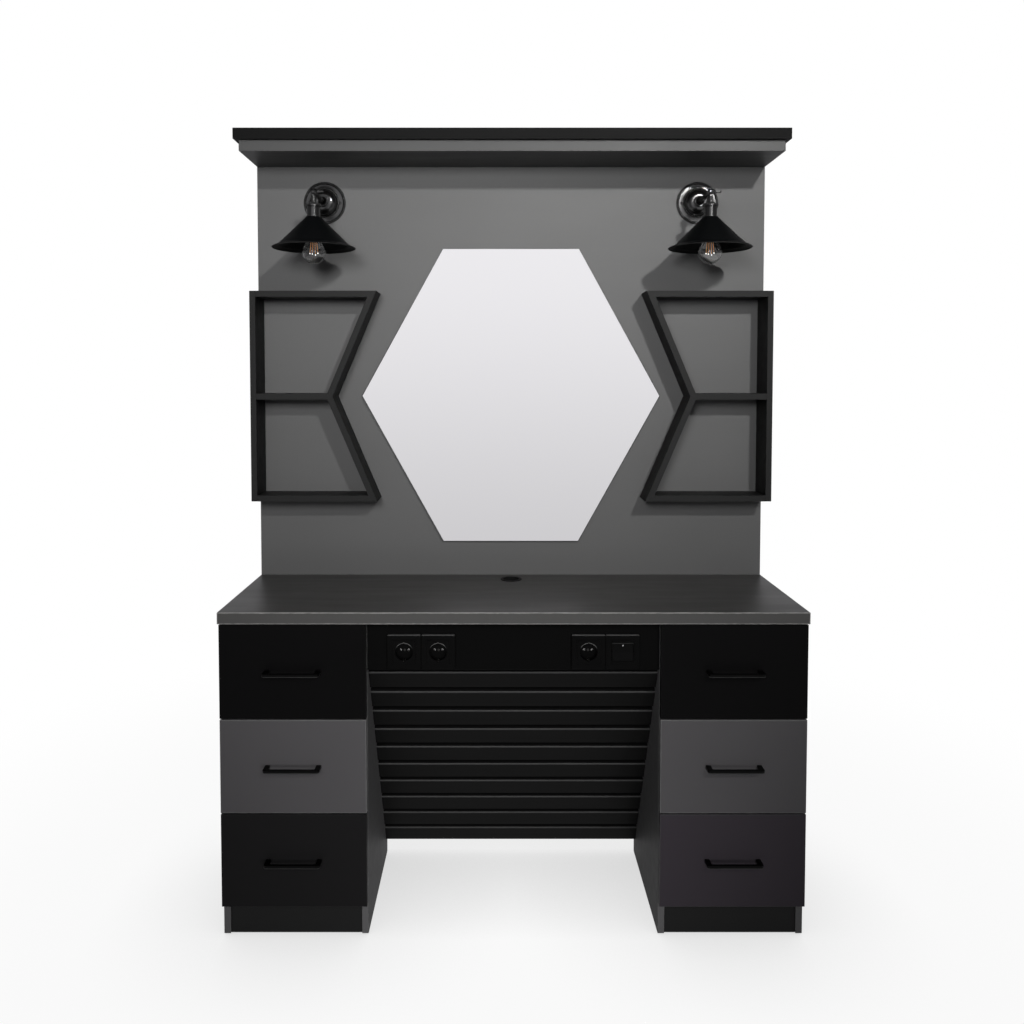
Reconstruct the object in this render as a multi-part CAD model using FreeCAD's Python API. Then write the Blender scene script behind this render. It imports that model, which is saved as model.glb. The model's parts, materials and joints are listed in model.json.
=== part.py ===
"""Hairdresser's work station: a wall panel with a hexagonal mirror, two open shelf units and
two swivelling lamps, on a worktop carried by two three-drawer pedestals.

Millimetres, +Z up, the floor at Z = 0. The station faces -Y and X = 0 is its middle plane.
Y = 0 is halfway between the drawer handles and the back of the wall panel.
"""
import FreeCAD, Part
import math
import os

V = FreeCAD.Vector

# ---- whole station -----------------------------------------------------------------------
STATION_WIDTH = 1400.0
WORKTOP_HEIGHT = 796.0
WORKTOP_DEPTH = 408.0          # front edge to the face of the wall panel
WORKTOP_THICKNESS = 28.0
BOARD = 16.0                   # laminated board of the carcass and the shelf units
EDGE_BREAK = 0.8               # small chamfer of every edge-banded board

# ---- wall panel and canopy ---------------------------------------------------------------
WALL_PANEL_THICKNESS = 18.0
WALL_PANEL_FLOOR_GAP = 40.0
CANOPY_ABOVE_LAMPS = 99.0      # underside above the lamps' tilt axis
CANOPY_REACH = 178.0           # lower board, from the face of the wall panel
CANOPY_BOARD = 28.0
CANOPY_TOP_OVERHANG = 12.0     # top board past the lower one, front and sides

# ---- pedestals ---------------------------------------------------------------------------
PEDESTAL_WIDTH = 350.0
PLINTH_HEIGHT = 78.0
PLINTH_SETBACK = 4.0
GLIDE_HEIGHT = 3.0
GLIDE_RADIUS = 7.0
GLIDE_INSET = 40.0
TOP_RAIL_DEPTH = 90.0

# ---- drawers -----------------------------------------------------------------------------
DRAWER_COUNT = 3
DRAWER_FRONT_THICKNESS = 18.0
FRONT_OVERHANG = 10.0          # worktop edge past the drawer fronts
FRONT_GAP = 3.0                # between one front and the next
FRONT_TOP_GAP = 4.0            # under the worktop
FRONT_BOTTOM_GAP = 2.0         # above the plinth
FRONT_SIDE_REVEAL = 0.5
CLOSING_GAP = 0.5              # closed front to the edges of the carcass
BOX_HEIGHT = 150.0
BOX_LIFT = 30.0                # bottom of the box above the bottom of its front
BOX_BOARD = 12.0
BOX_BASE = 4.0
BOX_BASE_LIFT = 8.0            # underside of the base above the bottom of the box

# ---- roller runners ----------------------------------------------------------------------
RUNNER_LENGTH = 350.0
RUNNER_SPACE = 12.5            # between a side panel and the drawer box
RUNNER_HEIGHT = 26.0
RUNNER_DROP = 13.0             # channel below the bottom of the box
RUNNER_LAP = 14.0              # angle up the side of the box
RUNNER_SHEET = 1.2
ROLLER_RADIUS = 8.0
ROLLER_WIDTH = 4.6
ROLLER_INSET = 14.0
RUNNING_GAP = 0.3

# ---- drawer handles ----------------------------------------------------------------------
HANDLE_LENGTH = 134.0
HANDLE_BAR = 8.0
HANDLE_LEG = 12.0
HANDLE_PROJECTION = 30.0
HANDLE_CORNER = 7.0
HANDLE_EDGE = 0.8

# ---- hexagonal mirror --------------------------------------------------------------------
MIRROR_SIDE_GAP = 67.0         # from its left and right points to the waists of the shelf units
MIRROR_HEIGHT = 812.0
MIRROR_FLAT = 376.0            # its level top and bottom edges
MIRROR_GLASS = 5.0
MIRROR_EDGE_BEVEL = 1.5
MIRROR_BACKER = 6.0
MIRROR_BACKER_INSET = 18.0

# ---- open shelf units --------------------------------------------------------------------
SHELF_DEPTH = 95.0
SHELF_HEIGHT = 565.0
SHELF_END_WIDTH = 339.0        # at the top and at the bottom
SHELF_WAIST_WIDTH = 220.0      # at the middle shelf
SHELF_ABOVE_WORKTOP = 219.0

# ---- socket rail -------------------------------------------------------------------------
RAIL_HEIGHT = 118.0
MODULE_SIZE = 81.0
MODULE_PAIR_INSET = 130.0      # from a pedestal to the joint of a pair
MODULE_CENTRE_DROP = 72.0      # from the worktop's underside to the module centres
COVER_DEPTH = 9.0
COVER_WALL = 2.0
COVER_CORNER = 4.0
INSERT_SIZE = 55.0
INSERT_GAP = 0.4
INSERT_PROUD = 0.8
SUPPORT_PLATE = 70.0
SUPPORT_SHEET = 1.2
WELL_RADIUS = 21.0
WELL_DEPTH = 17.5
WELL_WALL = 2.5
PIN_HOLE_RADIUS = 2.6
PIN_SPACING = 19.0
EARTH_CLIP_WIDTH = 4.0
EARTH_CLIP_THICKNESS = 1.5
BOX_CUT_RADIUS = 33.0          # round cut-out of the rail for each module
FIT_GAP = 0.3
BOX_CUP_DEPTH = 44.0
BOX_CUP_WALL = 1.5

# ---- rocker switch -----------------------------------------------------------------------
ROCKER_WIDTH = 50.0
ROCKER_HEIGHT = 42.0
ROCKER_DEPTH = 8.0
ROCKER_TILT = 4.0              # degrees each side of level
ROCKER_GAP = 1.0
TRUNNION_RADIUS = 1.5
TRUNNION_GAP = 0.1
TRUNNION_LENGTH = 1.6
SWITCH_BACK_GAP = 1.2          # round the switch's back inside its cup

# ---- slatted knee panel ------------------------------------------------------------------
SLAT_COUNT = 10
SLAT_WIDTH = 54.0
SLAT_THICKNESS = 18.0
SLAT_EDGE = 1.5
SLAT_BACKING = 10.0
SLAT_TOP_DROP = 13.0           # top edge of the panel's face below the socket rail
SLAT_TOP_SETBACK = 22.0        # and behind the front of the carcass
SLAT_BOTTOM_Z = 51.0
CLEAT = 20.0
CLEAT_TOP_INSET = 20.0
CLEAT_BOTTOM_INSET = 60.0

# ---- cable grommet -----------------------------------------------------------------------
GROMMET_HOLE_RADIUS = 26.0
GROMMET_FLANGE_RADIUS = 29.0
GROMMET_BORE_RADIUS = 22.0
GROMMET_FLANGE_HEIGHT = 2.0
GROMMET_LENGTH = 24.0
GROMMET_FROM_WALL = 61.0

# ---- wall lamps --------------------------------------------------------------------------
LAMP_FROM_EDGE = 186.0
LAMP_ABOVE_SHELF = 249.0       # plate centre and tilt axis above the shelf units
LAMP_REACH = 155.0             # tilt axis in front of the wall panel
PLATE_RADIUS = 58.0
PLATE_RIM = 4.0
PLATE_WELL = 2.5
BOSS_RADIUS = 38.0
BOSS_HEIGHT = 26.0
LAMP_SHEET = 1.5
ARM_NUT_RADIUS = 15.0
ARM_NUT_LENGTH = 9.0
ARM_RADIUS = 6.0
ARM_WIRE_RADIUS = 3.5
KNUCKLE_RADIUS = 10.0
KNUCKLE_HALF_WIDTH = 9.0
TONGUE_THICKNESS = 5.4
TONGUE_RADIUS = 8.5
KNUCKLE_GAP = 0.3
PIVOT_RADIUS = 2.5
PIVOT_GAP = 0.05
SCREW_COLLAR_RADIUS = 5.0
SCREW_COLLAR_LENGTH = 3.5
PADDLE_LENGTH = 14.0
PADDLE_WIDTH = 12.0
PADDLE_THICKNESS = 3.5
PADDLE_CORNER = 4.0
STEM_RADIUS = 5.5
STEM_LENGTH = 31.0             # tilt axis to the top of the holder's cap
CAP_RADIUS = 20.0
CAP_HEIGHT = 7.0
CAP_HOLLOW = 1.0               # under the cap's rim
HOLDER_RADIUS = 16.5
HOLDER_LENGTH = 27.0
SOCKET_LENGTH = 40.0           # screw socket below the holder, inside the shade
SOCKET_BORE_RADIUS = 14.0
SHADE_TOP_RADIUS = 20.0
SHADE_CLAMP_RADIUS = 19.0      # flange above and ring below the shade's top
SHADE_CLAMP_FLANGE = 2.0
SHADE_CLAMP_RING = 4.0
SHADE_CONE_RADIUS = 91.0
SHADE_CONE_HEIGHT = 71.0
SHADE_RIM_RADIUS = 107.0
SHADE_RIM_DROP = 8.0
SHADE_SHEET = 1.2
BULB_RADIUS = 31.0
BULB_BELOW_SHADE = 42.0
BULB_NECK_RADIUS = 15.0
BULB_GLASS = 1.0
BULB_CAP_RADIUS = 13.3
BULB_CAP_LENGTH = 27.0
BULB_SEAT_GAP = 2.0            # glass below the mouth of the socket
BULB_NECK_LENGTH = 4.0
BULB_FLANK_WAIST = 1.0         # flank inside a straight line from neck to ball
BULB_FLANK_SHARE = 0.38
BULB_MEETING_ANGLE = 33.0      # above the ball's equator, where the flank ends
PLATE_SCREW_SPAN = 86.0
PLATE_SCREW_RADIUS = 2.0
PLATE_SCREW_HEAD = 4.0
PLATE_SCREW_LENGTH = 16.0

# ---- planes that several pieces share ----------------------------------------------------
HALF_WIDTH = STATION_WIDTH / 2.0
DEPTH = HANDLE_PROJECTION - FRONT_OVERHANG + WORKTOP_DEPTH + WALL_PANEL_THICKNESS
Y_BACK = DEPTH / 2.0
Y_WALL = Y_BACK - WALL_PANEL_THICKNESS
Y_WORKTOP = Y_WALL - WORKTOP_DEPTH
Y_FRONTS = Y_WORKTOP + FRONT_OVERHANG
Y_DRAWER = Y_FRONTS + DRAWER_FRONT_THICKNESS
Y_CARCASS = Y_DRAWER + CLOSING_GAP
Z_CARCASS = WORKTOP_HEIGHT - WORKTOP_THICKNESS
X_INNER = HALF_WIDTH - PEDESTAL_WIDTH
Z_SHELF_MIDDLE = WORKTOP_HEIGHT + SHELF_ABOVE_WORKTOP + SHELF_HEIGHT / 2.0
LAMP_X = HALF_WIDTH - LAMP_FROM_EDGE
LAMP_Z = Z_SHELF_MIDDLE + SHELF_HEIGHT / 2.0 + LAMP_ABOVE_SHELF
Z_CANOPY = LAMP_Z + CANOPY_ABOVE_LAMPS
Z_RAIL = Z_CARCASS - RAIL_HEIGHT
Z_MODULE = Z_CARCASS - MODULE_CENTRE_DROP
Y_LAMP = Y_WALL - LAMP_REACH
FRONT_HEIGHT = ((Z_CARCASS - FRONT_TOP_GAP - PLINTH_HEIGHT - FRONT_BOTTOM_GAP
                 - (DRAWER_COUNT - 1) * FRONT_GAP) / DRAWER_COUNT)
SLAT_TOP = (Y_CARCASS + SLAT_TOP_SETBACK, Z_RAIL - SLAT_TOP_DROP)
SLAT_RISE = SLAT_TOP[1] - SLAT_BOTTOM_Z
SLAT_RUN = Y_WALL - SLAT_THICKNESS - SLAT_BACKING - SLAT_TOP[0]
SLAT_LENGTH = math.hypot(SLAT_RISE, SLAT_RUN)
SIDES = (("left", -1), ("right", 1))


def box(x0, x1, y0, y1, z0, z1):
    """A plain block between three pairs of planes, given in either order."""
    low = V(min(x0, x1), min(y0, y1), min(z0, z1))
    return Part.makeBox(abs(x1 - x0), abs(y1 - y0), abs(z1 - z0), low)


def board(x0, x1, y0, y1, z0, z1, edge=EDGE_BREAK):
    """A board with all its edges broken by a small chamfer."""
    solid = box(x0, x1, y0, y1, z0, z1)
    return solid.makeChamfer(edge, solid.Edges)


def prism(points, direction):
    """A flat outline, given as points in space, pushed along a direction."""
    outline = Part.makePolygon(list(points) + [points[0]])
    return Part.Face(outline).extrude(direction)


def prism_y(outline, y0, y1):
    """An outline of (x, z) points between two planes across Y."""
    return prism([V(x, y0, z) for x, z in outline], V(0, y1 - y0, 0))


def prism_x(outline, x0, x1):
    """An outline of (y, z) points between two planes across X."""
    return prism([V(x0, y, z) for y, z in outline], V(x1 - x0, 0, 0))


def tube(centre, axis, length, outer, inner=0.0):
    """A round bar or tube that starts at centre and runs along axis."""
    solid = Part.makeCylinder(outer, length, centre, axis)
    if inner > 0.0:
        solid = solid.cut(Part.makeCylinder(inner, length, centre, axis))
    return solid


def turned(profile):
    """Edges in the XZ half plane (x = radius), turned about Z into one solid."""
    return Part.Face(Part.Wire(profile)).revolve(V(0, 0, 0), V(0, 0, 1), 360)


def lines(points):
    """Straight edges through (radius, z) points."""
    places = [V(r, 0, z) for r, z in points]
    return [Part.LineSegment(a, b).toShape() for a, b in zip(places, places[1:])]


def save(name, *solids):
    """Write one node: a single solid, or several that stay separate."""
    shape = solids[0] if len(solids) == 1 else Part.makeCompound(list(solids))
    shape.exportStep("parts/" + name + ".step")


# ---- pedestals ---------------------------------------------------------------------------
def pedestal_span(sign):
    """Low and high X between the two side panels of a pedestal."""
    return sorted((sign * (X_INNER + BOARD), sign * (HALF_WIDTH - BOARD)))


def side_panels():
    for name, sign in SIDES:
        for place, x in (("outer", HALF_WIDTH), ("inner", X_INNER + BOARD)):
            panel = board(sign * x, sign * (x - BOARD), Y_CARCASS, Y_WALL, GLIDE_HEIGHT, Z_CARCASS)
            save(name + "_" + place + "_side", panel)


def pedestal_inner_boards():
    cross_boards, plinths = [], []
    for _, sign in SIDES:
        x0, x1 = pedestal_span(sign)
        cross_boards.append(board(x0, x1, Y_CARCASS, Y_WALL, PLINTH_HEIGHT, PLINTH_HEIGHT + BOARD))
        plinth_y = Y_CARCASS + PLINTH_SETBACK
        plinths.append(board(x0, x1, plinth_y, plinth_y + BOARD, GLIDE_HEIGHT, PLINTH_HEIGHT))
        for y in (Y_CARCASS, Y_WALL - TOP_RAIL_DEPTH):
            cross_boards.append(board(x0, x1, y, y + TOP_RAIL_DEPTH, Z_CARCASS - BOARD, Z_CARCASS))
    save("pedestal_cross_boards", *cross_boards)
    save("plinth_boards", *plinths)


def floor_glides():
    glides = []
    for _, sign in SIDES:
        for x in (HALF_WIDTH - BOARD / 2.0, X_INNER + BOARD / 2.0):
            for y in (Y_CARCASS + GLIDE_INSET, Y_WALL - GLIDE_INSET):
                glides.append(tube(V(sign * x, y, 0), V(0, 0, 1), GLIDE_HEIGHT, GLIDE_RADIUS))
    save("floor_glides", *glides)


# ---- drawers and their runners -----------------------------------------------------------
def front_bottom(row):
    """Bottom of a drawer front; row 0 is the lowest."""
    return PLINTH_HEIGHT + FRONT_BOTTOM_GAP + row * (FRONT_HEIGHT + FRONT_GAP)


def cabinet_runner(sign, wall_x, z):
    """Sheet channel on a side panel, open towards the drawer, with its front roller."""
    web_x = wall_x + sign * RUNNER_SHEET
    edge_x = wall_x + sign * (RUNNER_SPACE - RUNNER_SHEET - RUNNING_GAP)
    y0, y1 = Y_CARCASS, Y_CARCASS + RUNNER_LENGTH
    web = box(wall_x, web_x, y0, y1, z, z + RUNNER_HEIGHT)
    foot = box(wall_x, edge_x, y0, y1, z, z + RUNNER_SHEET)
    lip = box(wall_x, edge_x, y0, y1, z + RUNNER_HEIGHT - RUNNER_SHEET, z + RUNNER_HEIGHT)
    roller_z = z + RUNNER_SHEET + RUNNING_GAP + ROLLER_RADIUS
    roller = tube(V(web_x, y0 + ROLLER_INSET, roller_z), V(sign, 0, 0), ROLLER_WIDTH, ROLLER_RADIUS)
    return [web.fuse(foot).fuse(lip).removeSplitter(), roller]


def drawer_runner(sign, wall_x, box_z):
    """Angle on the drawer box with a flange that runs on the front roller, and its rear roller."""
    box_x = wall_x + sign * RUNNER_SPACE
    leg_x = box_x - sign * RUNNER_SHEET
    y0, y1 = Y_DRAWER, Y_DRAWER + RUNNER_LENGTH
    foot_top = box_z - RUNNER_DROP + RUNNER_SHEET
    flange_z = foot_top + 2 * RUNNING_GAP + 2 * ROLLER_RADIUS
    leg = box(box_x, leg_x, y0, y1, foot_top + RUNNING_GAP, box_z + RUNNER_LAP)
    flange_x = wall_x + sign * (RUNNER_SHEET + RUNNING_GAP)
    flange = box(box_x, flange_x, y0, y1, flange_z, flange_z + RUNNER_SHEET)
    shelf = box(leg_x, box_x + sign * BOX_BOARD, y0, y1, box_z - RUNNER_SHEET, box_z)
    roller_z = foot_top + RUNNING_GAP + ROLLER_RADIUS
    roller = tube(V(leg_x, y1 - ROLLER_INSET, roller_z), V(-sign, 0, 0), ROLLER_WIDTH, ROLLER_RADIUS)
    return [leg.fuse(flange).fuse(shelf).removeSplitter(), roller]


def drawer_front(centre_x, z):
    half = PEDESTAL_WIDTH / 2.0 - FRONT_SIDE_REVEAL
    return board(centre_x - half, centre_x + half, Y_FRONTS, Y_DRAWER, z, z + FRONT_HEIGHT)


def drawer_box(centre_x, z):
    """Two sides, a back, an inner front and a base, each a board of its own."""
    half = PEDESTAL_WIDTH / 2.0 - BOARD - RUNNER_SPACE
    inside = half - BOX_BOARD
    y0, y1 = Y_DRAWER, Y_DRAWER + RUNNER_LENGTH
    boards = [board(centre_x + s * half, centre_x + s * inside, y0, y1, z, z + BOX_HEIGHT) for s in (-1, 1)]
    for y in (y0, y1 - BOX_BOARD):
        boards.append(board(centre_x - inside, centre_x + inside, y, y + BOX_BOARD, z, z + BOX_HEIGHT))
    base_z = z + BOX_BASE_LIFT
    boards.append(box(centre_x - inside, centre_x + inside, y0 + BOX_BOARD, y1 - BOX_BOARD,
                      base_z, base_z + BOX_BASE))
    return boards


def handle(centre_x, centre_z):
    """Cast bar handle, a square bar between two wider legs that stand on the drawer front."""
    half = HANDLE_LENGTH / 2.0
    z0, z1 = centre_z - HANDLE_BAR / 2.0, centre_z + HANDLE_BAR / 2.0
    y0 = Y_FRONTS - HANDLE_PROJECTION
    outer = box(centre_x - half, centre_x + half, y0, Y_FRONTS, z0, z1)
    outer = outer.makeFillet(HANDLE_CORNER, upright_edges(outer, y0))
    inner_half, inner_y = half - HANDLE_LEG, y0 + HANDLE_BAR
    inner = box(centre_x - inner_half, centre_x + inner_half, inner_y, Y_FRONTS, z0, z1)
    inner = inner.makeFillet(HANDLE_CORNER - HANDLE_BAR / 2.0, upright_edges(inner, inner_y))
    bar = outer.cut(inner)
    level = [e for e in bar.Edges if e.BoundBox.ZLength < HANDLE_BAR / 2.0]
    long_edges = [e for e in level if e.BoundBox.YMin < Y_FRONTS - HANDLE_EDGE]
    return bar.makeChamfer(HANDLE_EDGE, long_edges)


def upright_edges(solid, y):
    """The edges of a block that stand upright in the plane at y."""
    return [e for e in solid.Edges if abs(e.BoundBox.YMax - y) < 1e-3 and e.BoundBox.ZLength > 1.0]


def drawers():
    runners = []
    for name, sign in SIDES:
        centre_x = sign * (HALF_WIDTH - PEDESTAL_WIDTH / 2.0)
        walls = [(s, centre_x - s * (PEDESTAL_WIDTH / 2.0 - BOARD)) for s in (-1, 1)]
        for row in range(DRAWER_COUNT):
            z = front_bottom(row)
            box_z = z + BOX_LIFT
            label = name + "_drawer_" + str(DRAWER_COUNT - row)
            solids = drawer_box(centre_x, box_z)
            for toward_box, wall_x in walls:
                runners += cabinet_runner(toward_box, wall_x, box_z - RUNNER_DROP)
                solids += drawer_runner(toward_box, wall_x, box_z)
            save(label + "_front", drawer_front(centre_x, z))
            save(label + "_box", *solids)
            save(label + "_handle", handle(centre_x, z + FRONT_HEIGHT / 2.0))
    save("cabinet_runners", *runners)


# ---- worktop and cable grommet -----------------------------------------------------------
def worktop():
    y_hole = Y_WALL - GROMMET_FROM_WALL
    slab = board(-HALF_WIDTH, HALF_WIDTH, Y_WORKTOP, Y_WALL, Z_CARCASS, WORKTOP_HEIGHT)
    hole = tube(V(0, y_hole, Z_CARCASS), V(0, 0, 1), WORKTOP_THICKNESS, GROMMET_HOLE_RADIUS)
    save("worktop", slab.cut(hole))
    body_radius = GROMMET_HOLE_RADIUS - FIT_GAP
    body = tube(V(0, y_hole, WORKTOP_HEIGHT - GROMMET_LENGTH), V(0, 0, 1), GROMMET_LENGTH, body_radius)
    flange = tube(V(0, y_hole, WORKTOP_HEIGHT), V(0, 0, 1), GROMMET_FLANGE_HEIGHT, GROMMET_FLANGE_RADIUS)
    rim = [e for e in flange.Edges if e.BoundBox.ZMin > WORKTOP_HEIGHT + GROMMET_FLANGE_HEIGHT / 2.0]
    flange = flange.makeFillet(GROMMET_FLANGE_HEIGHT / 2.0, rim)
    bore = tube(V(0, y_hole, Z_CARCASS), V(0, 0, 1), 2 * WORKTOP_THICKNESS, GROMMET_BORE_RADIUS)
    save("cable_grommet", body.fuse(flange).cut(bore).removeSplitter())


# ---- wall panel and canopy ---------------------------------------------------------------
def plate_screw_places():
    """Centres of the lamp plates' screws: (x, z)."""
    return [(sign * LAMP_X + s * PLATE_SCREW_SPAN / 2.0, LAMP_Z) for _, sign in SIDES for s in (-1, 1)]


def wall_panel():
    panel = board(-HALF_WIDTH, HALF_WIDTH, Y_WALL, Y_BACK, WALL_PANEL_FLOOR_GAP, Z_CANOPY)
    for x, z in plate_screw_places():
        hole_radius = PLATE_SCREW_RADIUS + PIVOT_GAP
        panel = panel.cut(tube(V(x, Y_WALL, z), V(0, 1, 0), PLATE_SCREW_LENGTH, hole_radius))
    save("wall_panel", panel)


def canopy():
    z_joint = Z_CANOPY + CANOPY_BOARD
    y_lower = Y_WALL - CANOPY_REACH
    half_top = HALF_WIDTH + CANOPY_TOP_OVERHANG
    lower = board(-HALF_WIDTH, HALF_WIDTH, y_lower, Y_BACK, Z_CANOPY, z_joint)
    top = board(-half_top, half_top, y_lower - CANOPY_TOP_OVERHANG, Y_BACK, z_joint, z_joint + CANOPY_BOARD)
    save("canopy_lower_board", lower)
    save("canopy_top_board", top)


# ---- mirror ------------------------------------------------------------------------------
def hexagon(inset=0.0):
    """(x, z) corners: level top and bottom edges, points at the right and the left."""
    x_point, x_flat = HALF_WIDTH - SHELF_WAIST_WIDTH - MIRROR_SIDE_GAP, MIRROR_FLAT / 2.0
    half = MIRROR_HEIGHT / 2.0
    scale = 1.0 - inset / half
    right = [(x_flat, half), (x_point, 0), (x_flat, -half)]
    corners = right + [(-x, -z) for x, z in right]
    return [(x * scale, Z_SHELF_MIDDLE + z * scale) for x, z in corners]


def mirror():
    y_glass = Y_WALL - MIRROR_BACKER
    save("mirror_backer", prism_y(hexagon(MIRROR_BACKER_INSET), y_glass, Y_WALL))
    glass = prism_y(hexagon(), y_glass - MIRROR_GLASS, y_glass)
    front = [e for e in glass.Edges if e.BoundBox.YMax < y_glass - MIRROR_GLASS / 2.0]
    save("mirror_glass", glass.makeChamfer(MIRROR_EDGE_BEVEL, front))


# ---- open shelf units --------------------------------------------------------------------
def slant(height, inner=0.0):
    """Distance inwards from the station's edge to the slanted board at a height above the waist."""
    run = (SHELF_END_WIDTH - SHELF_WAIST_WIDTH) / (SHELF_HEIGHT / 2.0)
    across = BOARD * math.hypot(1.0, run)
    return SHELF_WAIST_WIDTH + abs(height) * run - inner * across


def shelf_board_outline(low, high):
    """A level board between the side board and the slanted faces, around heights low to high."""
    inner = 0.0 if abs(low + high) > BOARD else 1.0
    ends = [(slant(h, inner), h) for h in ((low, high) if inner == 0.0 else (low, 0.0, high))]
    return [(BOARD, low)] + ends + [(BOARD, high)]


def shelf_unit(name, sign):
    half = SHELF_HEIGHT / 2.0
    y0 = Y_WALL - SHELF_DEPTH

    def plate(outline):
        points = [(sign * (HALF_WIDTH - d), Z_SHELF_MIDDLE + h) for d, h in outline]
        return prism_y(points, y0, Y_WALL)

    reach = half - BOARD
    x_side = sign * HALF_WIDTH
    side = board(x_side, x_side - sign * BOARD, y0, Y_WALL, Z_SHELF_MIDDLE - half, Z_SHELF_MIDDLE + half)
    upper = plate([(slant(0), 0), (slant(reach), reach), (slant(reach, 1), reach), (slant(0, 1), 0)])
    lower = plate([(slant(0), 0), (slant(reach), -reach), (slant(reach, 1), -reach), (slant(0, 1), 0)])
    shelves = [plate(shelf_board_outline(low, low + BOARD)) for low in (-half, -BOARD / 2.0, reach)]
    save(name + "_shelf_frame", side, upper, lower)
    save(name + "_shelf_boards", *shelves)


# ---- socket rail -------------------------------------------------------------------------
def module_places():
    """X of the four modules, left to right; the last one is the switch."""
    half = (MODULE_SIZE + INSERT_GAP) / 2.0
    pair = X_INNER - MODULE_PAIR_INSET
    return [sign * pair + s * half for _, sign in SIDES for s in (-1, 1)]


def square(centre_x, size, y0, y1, corner=0.0):
    """A block with a square front, centred on a module."""
    half = size / 2.0
    block = box(centre_x - half, centre_x + half, y0, y1, Z_MODULE - half, Z_MODULE + half)
    if corner > 0.0:
        through = [e for e in block.Edges if e.BoundBox.YLength > abs(y1 - y0) / 2.0]
        block = block.makeFillet(corner, through)
    return block


def socket_rail():
    rail = board(-X_INNER, X_INNER, Y_CARCASS, Y_CARCASS + BOARD, Z_RAIL, Z_CARCASS)
    cups = []
    for x in module_places():
        face = V(x, Y_CARCASS, Z_MODULE)
        rail = rail.cut(tube(face, V(0, 1, 0), BOARD, BOX_CUT_RADIUS))
        outer = BOX_CUT_RADIUS - FIT_GAP
        cup = tube(face, V(0, 1, 0), BOX_CUP_DEPTH, outer)
        hollow = tube(face, V(0, 1, 0), BOX_CUP_DEPTH - BOX_CUP_WALL, outer - BOX_CUP_WALL)
        cups.append(cup.cut(hollow))
    save("socket_rail", rail)
    save("module_boxes", *cups)


def cover_plate(x):
    """Shallow square shell with a square window."""
    y0 = Y_CARCASS - COVER_DEPTH
    shell = square(x, MODULE_SIZE, y0, Y_CARCASS, COVER_CORNER)
    front = [e for e in shell.Edges if e.BoundBox.YMax < y0 + 1e-3]
    shell = shell.makeChamfer(EDGE_BREAK, front)
    shell = shell.cut(square(x, MODULE_SIZE - 2 * COVER_WALL, y0 + COVER_WALL, Y_CARCASS))
    return shell.cut(square(x, INSERT_SIZE + 2 * INSERT_GAP, y0, Y_CARCASS))


def insert_body(x):
    """Front tile on a support plate that lies on the rail."""
    tile = square(x, INSERT_SIZE, Y_CARCASS - COVER_DEPTH - INSERT_PROUD, Y_CARCASS, COVER_WALL)
    plate = square(x, SUPPORT_PLATE, Y_CARCASS - SUPPORT_SHEET, Y_CARCASS, COVER_WALL)
    return tile.fuse(plate)


def socket_insert(x):
    """Socket with a round well, two pin holes and a slot for each earth clip."""
    y0 = Y_CARCASS - COVER_DEPTH - INSERT_PROUD
    mouth = V(x, y0, Z_MODULE)
    depth = WELL_DEPTH + WELL_WALL
    body = insert_body(x).fuse(tube(mouth, V(0, 1, 0), depth, WELL_RADIUS + WELL_WALL)).removeSplitter()
    body = body.cut(tube(mouth, V(0, 1, 0), WELL_DEPTH, WELL_RADIUS))
    for s in (-1, 1):
        pin = V(x + s * PIN_SPACING / 2.0, y0, Z_MODULE)
        body = body.cut(tube(pin, V(0, 1, 0), depth, PIN_HOLE_RADIUS))
        z0 = Z_MODULE + s * (WELL_RADIUS - EARTH_CLIP_THICKNESS)
        z1 = Z_MODULE + s * (WELL_RADIUS + EARTH_CLIP_THICKNESS + FIT_GAP)
        half = EARTH_CLIP_WIDTH / 2.0
        body = body.cut(box(x - half, x + half, y0, y0 + WELL_DEPTH, z0, z1))
    return body


def earth_clips(x):
    """Two bent-up strips at the top and the bottom of a socket's well."""
    y0 = Y_CARCASS - COVER_DEPTH - INSERT_PROUD
    clips = []
    for s in (-1, 1):
        z0 = Z_MODULE + s * (WELL_RADIUS + FIT_GAP)
        z1 = Z_MODULE + s * (WELL_RADIUS + EARTH_CLIP_THICKNESS)
        half = EARTH_CLIP_WIDTH / 2.0 - FIT_GAP / 2.0
        clips.append(box(x - half, x + half, y0 + COVER_WALL, y0 + WELL_DEPTH, z0, z1))
    return clips


def rocker_pivot():
    """Centre of the rocker's trunnions: (y, z)."""
    return Y_CARCASS - COVER_DEPTH + ROCKER_DEPTH / 2.0, Z_MODULE


def switch_frame(x):
    """Tile with a window and a closed back, holding the rocker's trunnions."""
    y0 = Y_CARCASS - COVER_DEPTH - INSERT_PROUD
    body = insert_body(x)
    half_w, half_h = ROCKER_WIDTH / 2.0 + ROCKER_GAP, ROCKER_HEIGHT / 2.0 + ROCKER_GAP
    window = box(x - half_w, x + half_w, y0, Y_CARCASS, Z_MODULE - half_h, Z_MODULE + half_h)
    back_radius = BOX_CUT_RADIUS - BOX_CUP_WALL - SWITCH_BACK_GAP
    back = tube(V(x, Y_CARCASS, Z_MODULE), V(0, 1, 0), WELL_DEPTH, back_radius)
    body = body.cut(window).fuse(back)
    y, z = rocker_pivot()
    reach = half_w + TRUNNION_LENGTH
    sockets = tube(V(x - reach, y, z), V(1, 0, 0), 2 * reach, TRUNNION_RADIUS + TRUNNION_GAP)
    return body.cut(sockets).removeSplitter()


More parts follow.
